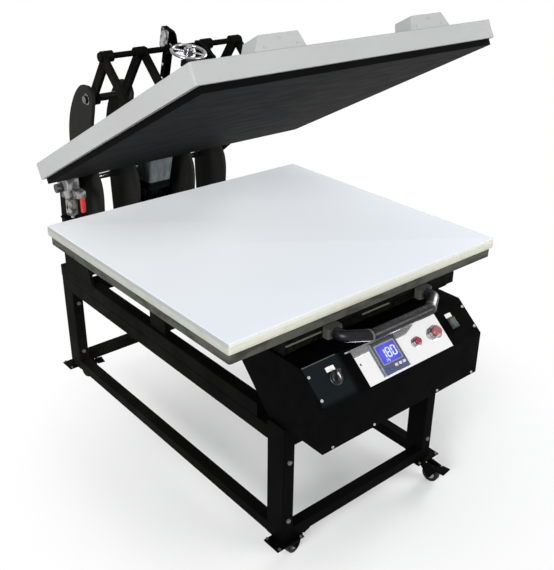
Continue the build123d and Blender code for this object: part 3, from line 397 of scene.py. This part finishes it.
def pad_silicone():
    """Pale blue-white face on a foam side: cream at the front, the same foam painted darker and greyer at the
    left and right sides as painted shade, and the face painted lighter toward the rear left as painted light
    against the platen's shadow.
    """
    front_face, painted_light_rear_face = (0.745, 0.785, 0.832), (0.950, 0.975, 1.000)
    cream, yellowed = (0.435, 0.440, 0.375), (0.350, 0.347, 0.275)
    shaded_grey_foam, shaded_greenish_foam = (0.325, 0.333, 0.297), (0.262, 0.268, 0.226)
    pad = Finish("pad_silicone", front_face, 0.7, specular=0.08)
    x, y, height = pad.axes()
    depth = height * -1 + PAD_CENTRE.z
    blotch = pad.noise(22, 5.0, (1, 1, 2)).step(0.45, 0.75)
    # Painted shade: the faces toward the left and right take darker foam and skin colours than the front.
    shaded_sides = abs(pad.facing("X")).above(0.6, 0.2)
    front_foam = pad.mix(blotch * 0.6, cream, yellowed)
    shaded_side_foam = pad.mix(blotch * 0.6, shaded_grey_foam, shaded_greenish_foam)
    foam = pad.mix(shaded_sides, front_foam, shaded_side_foam)
    skin = pad.mix(shaded_sides, (0.500, 0.503, 0.468), (0.275, 0.283, 0.282))
    side = pad.mix(depth.below(PAD_SKIN_DEPTH, 1.2 * MM), foam, skin)
    # Painted light: the top face gets lighter toward the rear and the left, against the platen's shadow.
    face = pad.mix(y.step(-0.60, 0.10) * x.step(-0.30, 0.50, 1.0, 0.40), front_face, painted_light_rear_face)
    face = pad.mix(pad.noise(1.6, 3.0).step(0.4, 0.7) * 0.03, face, (0.5, 0.55, 0.6))
    pad.set("Base Color", pad.mix(pad.facing("Z").step(0.55, 0.9), side, face))
    pores = pad.cells(700).step(0.0, 0.5)
    pad.set("Roughness", pad.noise(90, 2.0).step(0.3, 0.7, 0.62, 0.76))
    pad.set("Normal", pad.bump(pores, 0.00015, 0.2))
    return pad.material


LUG_LENGTH = 25 * MM
RING_INNER = 116.5 * MM
RING_OUTER = 121.5 * MM
RINGS_FROM_ROOT = 30 * MM
RIBBED_HALF = 100 * MM
RIBS_PER_METRE = 260.0


def grip_rubber():
    """Glossy black grip with clamp rings at its bends and olive grey root lugs."""
    black_rubber = (0.004, 0.004, 0.005)
    rubber = Finish("grip_rubber", black_rubber, 0.2, specular=0.20)
    x, y, _ = rubber.axes()
    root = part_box("table_handle")[1].y
    across = abs(x)
    lugs = y.above(root - LUG_LENGTH, 0.4 * MM)
    ring = across.between(RING_INNER, RING_OUTER, 0.4 * MM) * y.below(root - RINGS_FROM_ROOT)
    colour = rubber.mix(ring, black_rubber, (0.075, 0.08, 0.075))
    rubber.set("Base Color", rubber.mix(lugs, colour, (0.036, 0.037, 0.031)))
    rubber.set("Roughness", rubber.noise(28, 4.0).step(0.3, 0.75, 0.24, 0.42))
    ribs = (x * RIBS_PER_METRE).math("SINE").step(0.2, 0.9) * across.below(RIBBED_HALF, 4 * MM)
    grain = rubber.bump(rubber.noise(520, 2.0), 0.00018, 0.3)
    rubber.set("Normal", rubber.bump(ribs, 0.0005, 0.25, grain))
    return rubber.material


def bright_steel(name, colour, low, high, grain=(1, 1, 1)):
    """Polished or plated steel with fine scratches and handling marks."""
    steel = Finish(name, colour, low, 1.0)
    marks = steel.noise(45, 4.0, grain)
    steel.set("Roughness", marks.step(0.35, 0.75, low, high))
    steel.set("Base Color", steel.mix(marks.step(0.55, 0.8) * 0.35, colour, tuple(c * 0.72 for c in colour)))
    steel.set("Normal", steel.bump(steel.noise(900, 2.0, grain), 0.00005, 0.2))
    return steel.material


def cylinder_metal():
    """Clear anodised barrel with drawing lines along it, above a near-black lower end."""
    metal = Finish("cylinder_metal", (0.20, 0.23, 0.24), 0.45, 0.6, specular=0.06)
    lines = metal.noise(110, 3.0, (1, 1, 0.04))
    _, _, height = metal.axes()
    above_foot = height.above(PAD_CENTRE.z, 2 * MM)
    barrel = metal.mix(lines.step(0.35, 0.7), (0.125, 0.146, 0.150), (0.185, 0.208, 0.212))
    metal.set("Base Color", metal.mix(above_foot, (0.002, 0.0026, 0.003), barrel))
    metal.set("Metallic", above_foot * 0.5)
    metal.set("Roughness", lines.step(0.3, 0.7, 0.40, 0.55))
    metal.set("Normal", metal.bump(lines, 0.0001, 0.2))
    return metal.material


def cast_zinc():
    """Die cast alloy, mottled with darker patches."""
    zinc = Finish("cast_zinc", (0.30, 0.30, 0.30), 0.45, 0.6)
    mottle = zinc.noise(48, 3.0)
    zinc.set("Base Color", zinc.mix(mottle.step(0.40, 0.60), (0.27, 0.27, 0.27), (0.045, 0.045, 0.045)))
    zinc.set("Roughness", mottle.step(0.3, 0.7, 0.30, 0.55))
    zinc.set("Normal", zinc.bump(zinc.noise(300, 4.0), 0.0004, 0.4))
    return zinc.material


PANEL_MARK_ACROSS = (-138.5 * MM, -133.5 * MM)
PANEL_MARK_DOWN = (50.5 * MM, 56.5 * MM)


def panel_sheet():
    """Bright polished panel that mirrors the handle above it, with a small dark mark at its left edge."""
    panel = Finish("panel_sheet", (0.80, 0.80, 0.81), 0.08, 0.82, specular=0.5)
    x, down, _ = panel.slope()
    mark = x.between(*PANEL_MARK_ACROSS, 0.4 * MM) * down.between(*PANEL_MARK_DOWN, 0.4 * MM)
    faint = panel.mix(panel.noise(14, 3.0).step(0.4, 0.8) * 0.4, (0.82, 0.82, 0.825), (0.73, 0.73, 0.735))
    panel.set("Base Color", panel.mix(mark, faint, (0.03, 0.03, 0.03)))
    panel.set("Roughness", panel.noise(60, 3.0).step(0.3, 0.7, 0.04, 0.09))
    panel.set("Normal", panel.bump(panel.noise(500, 2.0), 0.00003, 0.10))
    return panel.material


def moulded(name, colour, gloss, clear=0.0):
    """Injection moulded plastic with mould grain and uneven gloss."""
    plastic = Finish(name, colour, gloss, specular=0.5, coat=clear)
    tone = plastic.noise(75, 3.0)
    darker = tuple(c * 0.75 for c in colour)
    plastic.set("Base Color", plastic.mix(tone.step(0.4, 0.75) * 0.4, colour, darker))
    plastic.set("Roughness", tone.step(0.3, 0.7, gloss - 0.05, gloss + 0.1))
    plastic.set("Normal", plastic.bump(plastic.noise(900, 2.0), 0.00008, 0.3))
    return plastic.material


WINDOW_SIDE = 4.0 * MM
WINDOW_FOOT = 2.5 * MM
WINDOW_HEAD = 3.0 * MM


def instrument_case():
    """Dark grey instrument face: blue-black key strip below a paler frame round the window."""
    case = Finish("instrument_case", (0.05, 0.055, 0.07), 0.3, specular=0.45)
    low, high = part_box("controller_display")
    x, y, _ = case.axes()
    strip = y.below(low.y - 1.5 * MM, 0.8 * MM)
    frame_band = x.between(low.x - WINDOW_SIDE, high.x + WINDOW_SIDE, 0.6 * MM)
    frame_band = frame_band * y.between(low.y - WINDOW_FOOT, high.y + WINDOW_HEAD, 0.6 * MM)
    colour = case.mix(strip, (0.032, 0.037, 0.045), (0.030, 0.042, 0.098))
    colour = case.mix(frame_band * 0.85, colour, (0.21, 0.215, 0.27))
    case.set("Base Color", case.mix(case.noise(80, 3.0).step(0.4, 0.8) * 0.25, colour, (0.02, 0.02, 0.03)))
    case.set("Roughness", case.noise(70, 2.0).step(0.3, 0.7, 0.26, 0.40))
    case.set("Normal", case.bump(case.noise(1100, 2.0), 0.00006, 0.3))
    return case.material


def display_glow():
    """Blue backlit window, brighter in its middle."""
    low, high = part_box("controller_display")
    middle = centre("controller_display")
    width, depth = high.x - low.x, high.y - low.y
    glow = Finish("display_glow", (0.018, 0.018, 0.16), 0.12, specular=0.5)
    x, y, _ = glow.axes()
    across = abs(x - middle.x) * (1 / width)
    along = abs(y - middle.y) * (1 / depth)
    fall = (across + along).step(0.15, 0.95)
    speck = glow.noise(420, 2.0).step(0.3, 0.7, 0.9, 1.0)
    glow.set("Emission Color", glow.mix(fall, (0.060, 0.070, 0.62), (0.030, 0.030, 0.36)))
    glow.set("Emission Strength", 1.0)
    glow.set("Roughness", speck * 0.14)
    return glow.material


def lit_digits():
    digits = Finish("lit_digits", (0.35, 0.40, 0.85), 0.3)
    shade = digits.noise(300, 2.0)
    digits.set("Emission Color", digits.mix(shade.step(0.3, 0.7), (0.34, 0.40, 0.98), (0.26, 0.31, 0.90)))
    digits.set("Emission Strength", 0.9)
    return digits.material


BLACK_PLASTIC = (0.008, 0.008, 0.009)
POINTER_TOP = 14.5 * MM
POINTER_HALF_WIDTH = 2.2 * MM


def selector_plastic():
    """Black knob whose raised pointer is silver on top."""
    knob = Finish("selector_plastic", BLACK_PLASTIC, 0.3, specular=0.4)
    x, _, out = knob.slope()
    tone = knob.noise(75, 3.0)
    pointer = abs(x - centre("selector_switch").x).below(POINTER_HALF_WIDTH, 0.4 * MM)
    silver = out.above(POINTER_TOP, 0.6 * MM) * pointer
    black_part = knob.mix(tone.step(0.4, 0.75) * 0.4, BLACK_PLASTIC, (0.012, 0.012, 0.013))
    knob.set("Base Color", knob.mix(silver, black_part, (0.50, 0.50, 0.49)))
    knob.set("Roughness", tone.step(0.3, 0.7, 0.26, 0.40))
    return knob.material


HUB_RADIUS = 16.5 * MM


def caster_tread(name):
    """Black tread round a grey moulded hub, told apart by the distance from the axle."""
    black_tread = (0.004, 0.004, 0.004)
    wheel = Finish(name, black_tread, 0.5, specular=0.12)
    axle = Vector(joint(name.replace("_caster_tread", "_wheel_roll"))["axis"]).normalized()
    middle = centre(name.replace("_tread", "_wheel"))
    away = wheel.node("ShaderNodeVectorMath", {"operation": "SUBTRACT"}, [wheel.coordinates, tuple(middle)])
    around = wheel.node("ShaderNodeVectorMath", {"operation": "CROSS_PRODUCT"}, [away, tuple(axle)])
    radius = wheel.node("ShaderNodeVectorMath", {"operation": "LENGTH"}, [around], "Value")
    hub = radius.below(HUB_RADIUS, 0.6 * MM)
    scuff = wheel.noise(160, 4.0).step(0.45, 0.75)
    tread = wheel.mix(scuff * 0.5, black_tread, (0.017, 0.0165, 0.016))
    wheel.set("Base Color", wheel.mix(hub, tread, (0.20, 0.20, 0.195)))
    wheel.set("Roughness", wheel.noise(120, 3.0).step(0.3, 0.7, 0.42, 0.62))
    wheel.set("Normal", wheel.bump(wheel.noise(500, 3.0), 0.0002, 0.3))
    return wheel.material


def dress(material, *names):
    for name in names:
        slots = nodes[name].material_slots
        if slots:
            for slot in slots:
                slot.material = material
        else:
            nodes[name].data.materials.append(material)


black = powder_coat("black_powder_coat").material
dress(black, "left_side_frame", "right_side_frame", "frame_cross_tubes", "bearer_rails", "tower_beams",
      "hinge_uprights", "cylinder_base_bracket", "slide_posts", "platen_hinge_arms", "link_lugs",
      "rear_links", "toggle_cross_tube", "front_links", "pressure_screw_bracket")
dress(crescent_coat(), "inner_toggle_plates", "outer_toggle_plates")
dress(subframe_coat(), "table_subframe")
dress(yoke_steel(), "rod_yoke")
dress(console_coat(), "console_shell")
dress(cover_paint(), "platen_cover", "terminal_covers")
dress(heater_coating(), "heating_plate")
dress(table_plate_metal(), "table_plate")
dress(grip_rubber(), "table_handle")
dress(bright_steel("chrome", (0.31, 0.31, 0.32), 0.14, 0.30), "handwheel", "button_bezels")
dress(bright_steel("ground_shaft", (0.40, 0.40, 0.41), 0.2, 0.36, (0.2, 1, 1)),
      "platen_hinge_shaft", "cylinder_rod")
dress(pin_steel(), "pivot_pins")
dress(screw_steel(), "machine_screws")
dress(cylinder_metal(), "air_cylinder_barrel")
dress(cast_zinc(), "filter_regulator", "filter_bowl")
dress(panel_sheet(), "control_panel")
dress(instrument_case(), "temperature_controller")
dress(display_glow(), "controller_display")
dress(moulded("key_caps", (0.40, 0.43, 0.56), 0.3), "middle_controller_key", "right_controller_key")
dress(moulded("pink_key_cap", (0.50, 0.36, 0.40), 0.3), "left_controller_key")
dress(moulded("red_button", (0.22, 0.005, 0.026), 0.2, clear=0.2), "small_red_button")
dress(moulded("red_lens", (0.22, 0.058, 0.065), 0.16, clear=0.3), "large_red_button")
dress(moulded("green_switch", (0.002, 0.026, 0.013), 0.34), "green_rocker_switch")
dress(selector_plastic(), "selector_switch")
dress(moulded("black_plastic", BLACK_PLASTIC, 0.36), "switch_mounts", "pressure_regulator_knob")
dress(moulded("blank_label", (0.66, 0.66, 0.64), 0.45), "label_plates")
dress(moulded("red_capsule", (0.40, 0.022, 0.022), 0.3), "red_drain_capsule")
for corner in ("front_left", "front_right", "rear_left", "rear_right"):
    dress(caster_tread(corner + "_caster_tread"), corner + "_caster_wheel")
    dress(black, corner + "_caster_fork", corner + "_caster_pedal")


# Mesh helpers

def piece(name, mesh, material, body):
    for poly in mesh.polygons:
        poly.use_smooth = True
    mesh.materials.clear()
    mesh.materials.append(material)
    obj = bpy.data.objects.new(name, mesh)
    bpy.context.scene.collection.objects.link(obj)
    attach(obj, body)
    return obj


def from_bmesh(bm, name):
    bmesh.ops.recalc_face_normals(bm, faces=bm.faces)
    mesh = bpy.data.meshes.new(name)
    bm.to_mesh(mesh)
    bm.free()
    return mesh


# Pad: a soft slab with rounded edges, slightly swollen sides and a skin seam

PAD_EDGE = 1.6 * MM
PAD_CORNER = 7 * MM
PAD_CORNER_LEAST = 0.5 * MM
PAD_SEAM_CUT = 0.7 * MM
PAD_BULGE = 1.2 * MM
PAD_SWAY = 0.45 * MM
PAD_SWAY_SCALE = 9.0
PAD_STEPS = 60


def pad_profile():
    """Side outline as (inset from the CAD edge, depth below the top), from the top inward edge down."""
    thick = pad_high.z - pad_low.z
    outline = []
    for step in range(7):
        angle = math.radians(90 * step / 6)
        outline.append((PAD_EDGE * (1 - math.sin(angle)) + PAD_BULGE, PAD_EDGE * (1 - math.cos(angle))))
    outline.append((PAD_BULGE * 0.6, PAD_SKIN_DEPTH - 1.5 * MM))
    outline.append((PAD_BULGE * 0.6 + PAD_SEAM_CUT * 0.3, PAD_SKIN_DEPTH - 0.5 * MM))
    outline.append((PAD_BULGE * 0.6 + PAD_SEAM_CUT, PAD_SKIN_DEPTH))
    outline.append((PAD_BULGE * 0.4 + PAD_SEAM_CUT * 0.3, PAD_SKIN_DEPTH + 0.5 * MM))
    outline.append((PAD_BULGE * 0.3, PAD_SKIN_DEPTH + 1.5 * MM))
    outline.append((0.0, thick * 0.62))
    outline.append((PAD_BULGE * 0.6, thick - 2.0 * MM))
    outline.append((PAD_BULGE * 0.6 + 1.5 * MM, thick - 0.2 * MM))
    return outline


def pad_ring(inset):
    """Points round the pad at an inset, with rounded corners and evenly divided sides."""
    x0, x1 = pad_low.x + inset, pad_high.x - inset
    y0, y1 = pad_low.y + inset, pad_high.y - inset
    radius = max(PAD_CORNER - inset, PAD_CORNER_LEAST)
    points = []
    corners = ((x1 - radius, y1 - radius, 0), (x0 + radius, y1 - radius, 90),
               (x0 + radius, y0 + radius, 180), (x1 - radius, y0 + radius, 270))
    for index, (cx, cy, start) in enumerate(corners):
        for step in range(6):
            angle = math.radians(start + 90 * step / 5)
            points.append(Vector((cx + radius * math.cos(angle), cy + radius * math.sin(angle), 0)))
        next_x, next_y, _ = corners[(index + 1) % 4]
        turn = math.radians(start + 90)
        first = points[-1]
        last = Vector((next_x + radius * math.cos(turn), next_y + radius * math.sin(turn), 0))
        for step in range(1, PAD_STEPS):
            points.append(first.lerp(last, step / PAD_STEPS))
    return points


def make_pad():
    bm = bmesh.new()
    rings = []
    for inset, depth in pad_profile():
        ring = []
        for point in pad_ring(inset):
            sway = noise.noise(Vector((point.x, point.y, depth * 4)) * PAD_SWAY_SCALE) * PAD_SWAY
            inward = Vector((PAD_CENTRE.x - point.x, PAD_CENTRE.y - point.y, 0)).normalized() * max(sway, 0)
            ring.append(bm.verts.new((point.x + inward.x, point.y + inward.y, pad_high.z - depth)))
        rings.append(ring)
    for upper, lower in zip(rings, rings[1:]):
        for index in range(len(upper)):
            after = (index + 1) % len(upper)
            bm.faces.new((upper[index], upper[after], lower[after], lower[index]))
    bm.faces.new(rings[0])
    bm.faces.new(list(reversed(rings[-1])))
    slab = piece("pad_slab", from_bmesh(bm, "pad_slab"), pad_silicone(), "table")
    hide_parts("silicone_pad")


make_pad()


# Seven-segment digits on the display

SEGMENTS = {"0": "abcdef", "1": "bc", "5": "afgcd", "7": "abc", "8": "abcdefg"}
SEGMENT_ENDS = {"a": ((0, 2), (1, 2)), "b": ((1, 2), (1, 1)), "c": ((1, 1), (1, 0)), "d": ((0, 0), (1, 0)),
                "e": ((0, 1), (0, 0)), "f": ((0, 2), (0, 1)), "g": ((0, 1), (1, 1))}
SEGMENT_LIFT = 0.25 * MM
DIGIT_PITCH = 1.55
ACROSS = Vector((1, 0, 0))

# Each reading: its digits, across and down from the middle of the window, height and stroke, in mm
READINGS = (("180", -25, 12, 12.5, 3.6), ("175", -22, 22, 3.4, 1.1))


def add_segment(bm, start, end, width):
    along = (end - start).normalized()
    across = along.cross(slope_axis)
    gap = width * 0.12
    points = [start + along * gap, start + along * gap * 1.8 + across * width / 2,
              end - along * gap * 1.8 + across * width / 2, end - along * gap,
              end - along * gap * 1.8 - across * width / 2, start + along * gap * 1.8 - across * width / 2]
    low = [bm.verts.new(p) for p in points]
    high = [bm.verts.new(p + slope_axis * SEGMENT_LIFT) for p in points]
    bm.faces.new(high)
    bm.faces.new(list(reversed(low)))
    for index in range(6):
        after = (index + 1) % 6
        bm.faces.new((low[index], low[after], high[after], high[index]))


def add_number(bm, text, origin, size, width):
    """Writes digits from the lower left corner of the first one."""
    for place, digit in enumerate(text):
        corner = origin + ACROSS * size * DIGIT_PITCH * place
        for segment in SEGMENTS[digit]:
            ends = [corner + ACROSS * size * u - slope_down * size * v for u, v in SEGMENT_ENDS[segment]]
            add_segment(bm, ends[0], ends[1], width)


def make_digits():
    face = centre("controller_display") + slope_axis * 0.5 * MM
    bm = bmesh.new()
    for text, across, down, size, width in READINGS:
        origin = face + ACROSS * across * MM + slope_down * down * MM
        add_number(bm, text, origin, size * MM, width * MM)
    piece("display_digits", from_bmesh(bm, "display_digits"), lit_digits(), "stand")


make_digits()


# Cross recesses in the screw heads, made with geometry nodes

RECESS_ARM = 4.0 * MM
RECESS_WIDTH = 0.55 * MM
RECESS_DEPTH = 0.4 * MM
RECESS_SUNK = 0.14 * MM
RECESS_SEED = 7
SAME_POINT = 1e-6
CONSOLE_SCREWS_BELOW_FOOT = 5 * MM
SLOPE_ABOVE_FOOT = 60 * MM
FRONTWARD = Vector((0, -1, 0))


def recess_tree():
    """Places a small sunk cross on every point, turned to the point's own normal."""
    tree = bpy.data.node_groups.new("screw_recesses", "GeometryNodeTree")
    tree.interface.new_socket("Geometry", in_out="INPUT", socket_type="NodeSocketGeometry")
    for label, value in (("Arm", RECESS_ARM), ("Width", RECESS_WIDTH), ("Depth", RECESS_DEPTH)):
        tree.interface.new_socket(label, in_out="INPUT", socket_type="NodeSocketFloat").default_value = value
    tree.interface.new_socket("Seed", in_out="INPUT", socket_type="NodeSocketInt").default_value = RECESS_SEED
    tree.interface.new_socket("Material", in_out="INPUT", socket_type="NodeSocketMaterial")
    tree.interface.new_socket("Geometry", in_out="OUTPUT", socket_type="NodeSocketGeometry")
    entry = tree.nodes.new("NodeGroupInput")
    leave = tree.nodes.new("NodeGroupOutput")

    def add(kind, **settings):
        made = tree.nodes.new(kind)
        for key, value in settings.items():
            setattr(made, key, value)
        return made

    def link(a, b):
        tree.links.new(a, b)

    arms = []
    for turned in (False, True):
        size = add("ShaderNodeCombineXYZ")
        link(entry.outputs["Width" if turned else "Arm"], size.inputs["X"])
        link(entry.outputs["Arm" if turned else "Width"], size.inputs["Y"])
        link(entry.outputs["Depth"], size.inputs["Z"])
        box = add("GeometryNodeMeshCube")
        link(size.outputs[0], box.inputs["Size"])
        arms.append(box)
    cross = add("GeometryNodeJoinGeometry")
    for box in arms:
        link(box.outputs["Mesh"], cross.inputs[0])
    normal = add("GeometryNodeInputNamedAttribute", data_type="FLOAT_VECTOR")
    normal.inputs["Name"].default_value = "facing"
    align = add("FunctionNodeAlignRotationToVector", axis="Z")
    link(normal.outputs["Attribute"], align.inputs["Vector"])
    spin = add("FunctionNodeRandomValue", data_type="FLOAT")
    spin.inputs["Max"].default_value = math.tau
    link(entry.outputs["Seed"], spin.inputs["Seed"])
    own = add("ShaderNodeCombineXYZ")
    link(next(s for s in spin.outputs if s.enabled), own.inputs["Z"])
    twist = add("FunctionNodeRotateRotation", rotation_space="LOCAL")
    link(align.outputs["Rotation"], twist.inputs["Rotation"])
    link(own.outputs[0], twist.inputs["Rotate By"])
    scatter = add("GeometryNodeInstanceOnPoints")
    link(entry.outputs["Geometry"], scatter.inputs["Points"])
    link(cross.outputs[0], scatter.inputs["Instance"])
    link(twist.outputs["Rotation"], scatter.inputs["Rotation"])
    real = add("GeometryNodeRealizeInstances")
    link(scatter.outputs["Instances"], real.inputs[0])
    paint = add("GeometryNodeSetMaterial")
    link(real.outputs[0], paint.inputs["Geometry"])
    link(entry.outputs["Material"], paint.inputs["Material"])
    link(paint.outputs[0], leave.inputs[0])
    return tree


def grow(name, points, facings, tree, material, body, slot, **sizes):
    """Runs a tree on loose points that carry a facing, and keeps the result as a plain mesh."""
    seed = bpy.data.meshes.new(name)
    seed.from_pydata([tuple(p) for p in points], [], [])
    attribute = seed.attributes.new("facing", "FLOAT_VECTOR", "POINT")
    for item, facing in zip(attribute.data, facings):
        item.vector = facing
    holder = bpy.data.objects.new(name, seed)
    bpy.context.scene.collection.objects.link(holder)
    modifier = holder.modifiers.new("grow", "NODES")
    modifier.node_group = tree
    sockets = [i for i in tree.interface.items_tree if i.item_type == "SOCKET" and i.in_out == "INPUT"]
    keys = {i.name: i.identifier for i in sockets}
    modifier[keys["Material"]] = material
    for label, value in sizes.items():
        modifier[keys[label]] = value
    evaluated = holder.evaluated_get(bpy.context.evaluated_depsgraph_get())
    mesh = bpy.data.meshes.new_from_object(evaluated)
    holder.modifiers.clear()
    bpy.data.objects.remove(holder)
    piece(name, mesh, material, body)


def solids_of(node):
    """Splits a CAD node into its loose solids and gives each one's points."""
    bm = bmesh.new()
    bm.from_mesh(nodes[node].data)
    bmesh.ops.remove_doubles(bm, verts=bm.verts, dist=SAME_POINT)
    seen, found = set(), []
    for start in bm.verts:
        if start in seen:
            continue
        stack, shell = [start], []
        seen.add(start)
        while stack:
            vert = stack.pop()
            shell.append(vert.co.copy())
            for edge in vert.link_edges:
                other = edge.other_vert(vert)
                if other not in seen:
                    seen.add(other)
                    stack.append(other)
        found.append(shell)
    bm.free()
    return found


def screw_faces():
    """Head centres and facings of the console screws, read from the CAD node."""
    console_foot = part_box("console_shell")[0].z
    points, facings = [], []
    for shell in solids_of("machine_screws"):
        middle = sum(shell, Vector()) / len(shell)
        if middle.z < console_foot - CONSOLE_SCREWS_BELOW_FOOT:
            continue
        facing = slope_axis if middle.z > console_foot + SLOPE_ABOVE_FOOT else FRONTWARD
        top = max(p.dot(facing) for p in shell)
        points.append(middle + facing * (top - middle.dot(facing) - RECESS_SUNK))
        facings.append(facing)
    return points, facings


def make_recesses():
    # Painted shade: the dark crosses stand for the shade inside the screw recesses.
    dark = moulded("recess_painted_shade", (0.03, 0.03, 0.03), 0.5)
    points, facings = screw_faces()
    grow("screw_recesses", points, facings, recess_tree(), dark, "stand", "zinc_steel", Arm=RECESS_ARM)


make_recesses()


# Floor, backdrop and light

FLOOR_HALF = 14.0
FADE_CENTRE = (0.20, -0.18)
FADE_START = 0.34
FADE_END = 1.10
FLOOR_LIFT = 0.14


def floor_material():
    """Pale floor that keeps the shadow near the machine and fades to the white backdrop."""
    pale = (0.72, 0.72, 0.72)
    floor = Finish("studio_floor", pale, 0.9, specular=0.1)
    floor.set("Base Color", floor.mix(floor.noise(1.3, 2.0).step(0.3, 0.7), pale, (0.71, 0.71, 0.71)))
    x, y, _ = floor.axes()
    x, y = x - FADE_CENTRE[0], y - FADE_CENTRE[1]
    away = ((x * x) + (y * y)).math("SQRT")
    fade = away.step(FADE_START, FADE_END, FLOOR_LIFT, 1.0)
    lit = Value(floor, floor.shader.outputs[0])
    white = floor.node("ShaderNodeEmission", {}, {"Color": (1, 1, 1)})
    blend = floor.node("ShaderNodeMixShader", {}, [fade * floor.seen_directly(), lit, white])
    output = next(n for n in floor.tree.nodes if n.type == "OUTPUT_MATERIAL")
    floor.feed(output.inputs["Surface"], blend)
    return floor.material


def add_floor():
    bm = bmesh.new()
    bmesh.ops.create_grid(bm, x_segments=8, y_segments=8, size=FLOOR_HALF)
    mesh = bpy.data.meshes.new("studio_floor")
    bm.to_mesh(mesh)
    bm.free()
    mesh.materials.append(floor_material())
    floor = bpy.data.objects.new("studio_floor", mesh)
    bpy.context.scene.collection.objects.link(floor)


WORLD_COLOUR = (0.97, 0.985, 1.0)
WORLD_LIGHT = 0.35


def add_world():
    world = bpy.data.worlds.new("studio")
    world.use_nodes = True
    world.node_tree.nodes.clear()
    studio = Shading(world.node_tree)
    soft = studio.node("ShaderNodeBackground", {}, {"Color": WORLD_COLOUR, "Strength": WORLD_LIGHT})
    white = studio.node("ShaderNodeBackground", {}, {"Color": (1, 1, 1), "Strength": 1.0})
    blend = studio.node("ShaderNodeMixShader", {}, [studio.seen_directly(), soft, white])
    output = studio.tree.nodes.new("ShaderNodeOutputWorld")
    studio.feed(output.inputs["Surface"], blend)
    bpy.context.scene.world = world


# Each lamp: its place in metres, width in metres and power in watts
LAMPS = {"key_lamp": ((-8.6, -3.8, 3.8), 4.6, 1190), "fill_lamp": ((4.4, -7.8, 3.2), 5.0, 630),
         "side_lamp": ((8.8, 1.2, 2.9), 4.0, 740)}
LAMP_TARGET = Vector((0, 0, 0.8))


def add_lamp(name, place, size, power):
    data = bpy.data.lights.new(name, "AREA")
    data.shape = "DISK"
    data.size = size
    data.energy = power
    lamp = bpy.data.objects.new(name, data)
    bpy.context.scene.collection.objects.link(lamp)
    direction = (LAMP_TARGET - Vector(place)).normalized()
    lamp.matrix_world = Matrix.Translation(place) @ direction.to_track_quat("-Z", "Y").to_matrix().to_4x4()


add_camera()
add_floor()
add_world()
for lamp_name, (place, size, power) in LAMPS.items():
    add_lamp(lamp_name, place, size, power)
bpy.context.scene.view_settings.view_transform = "Standard"
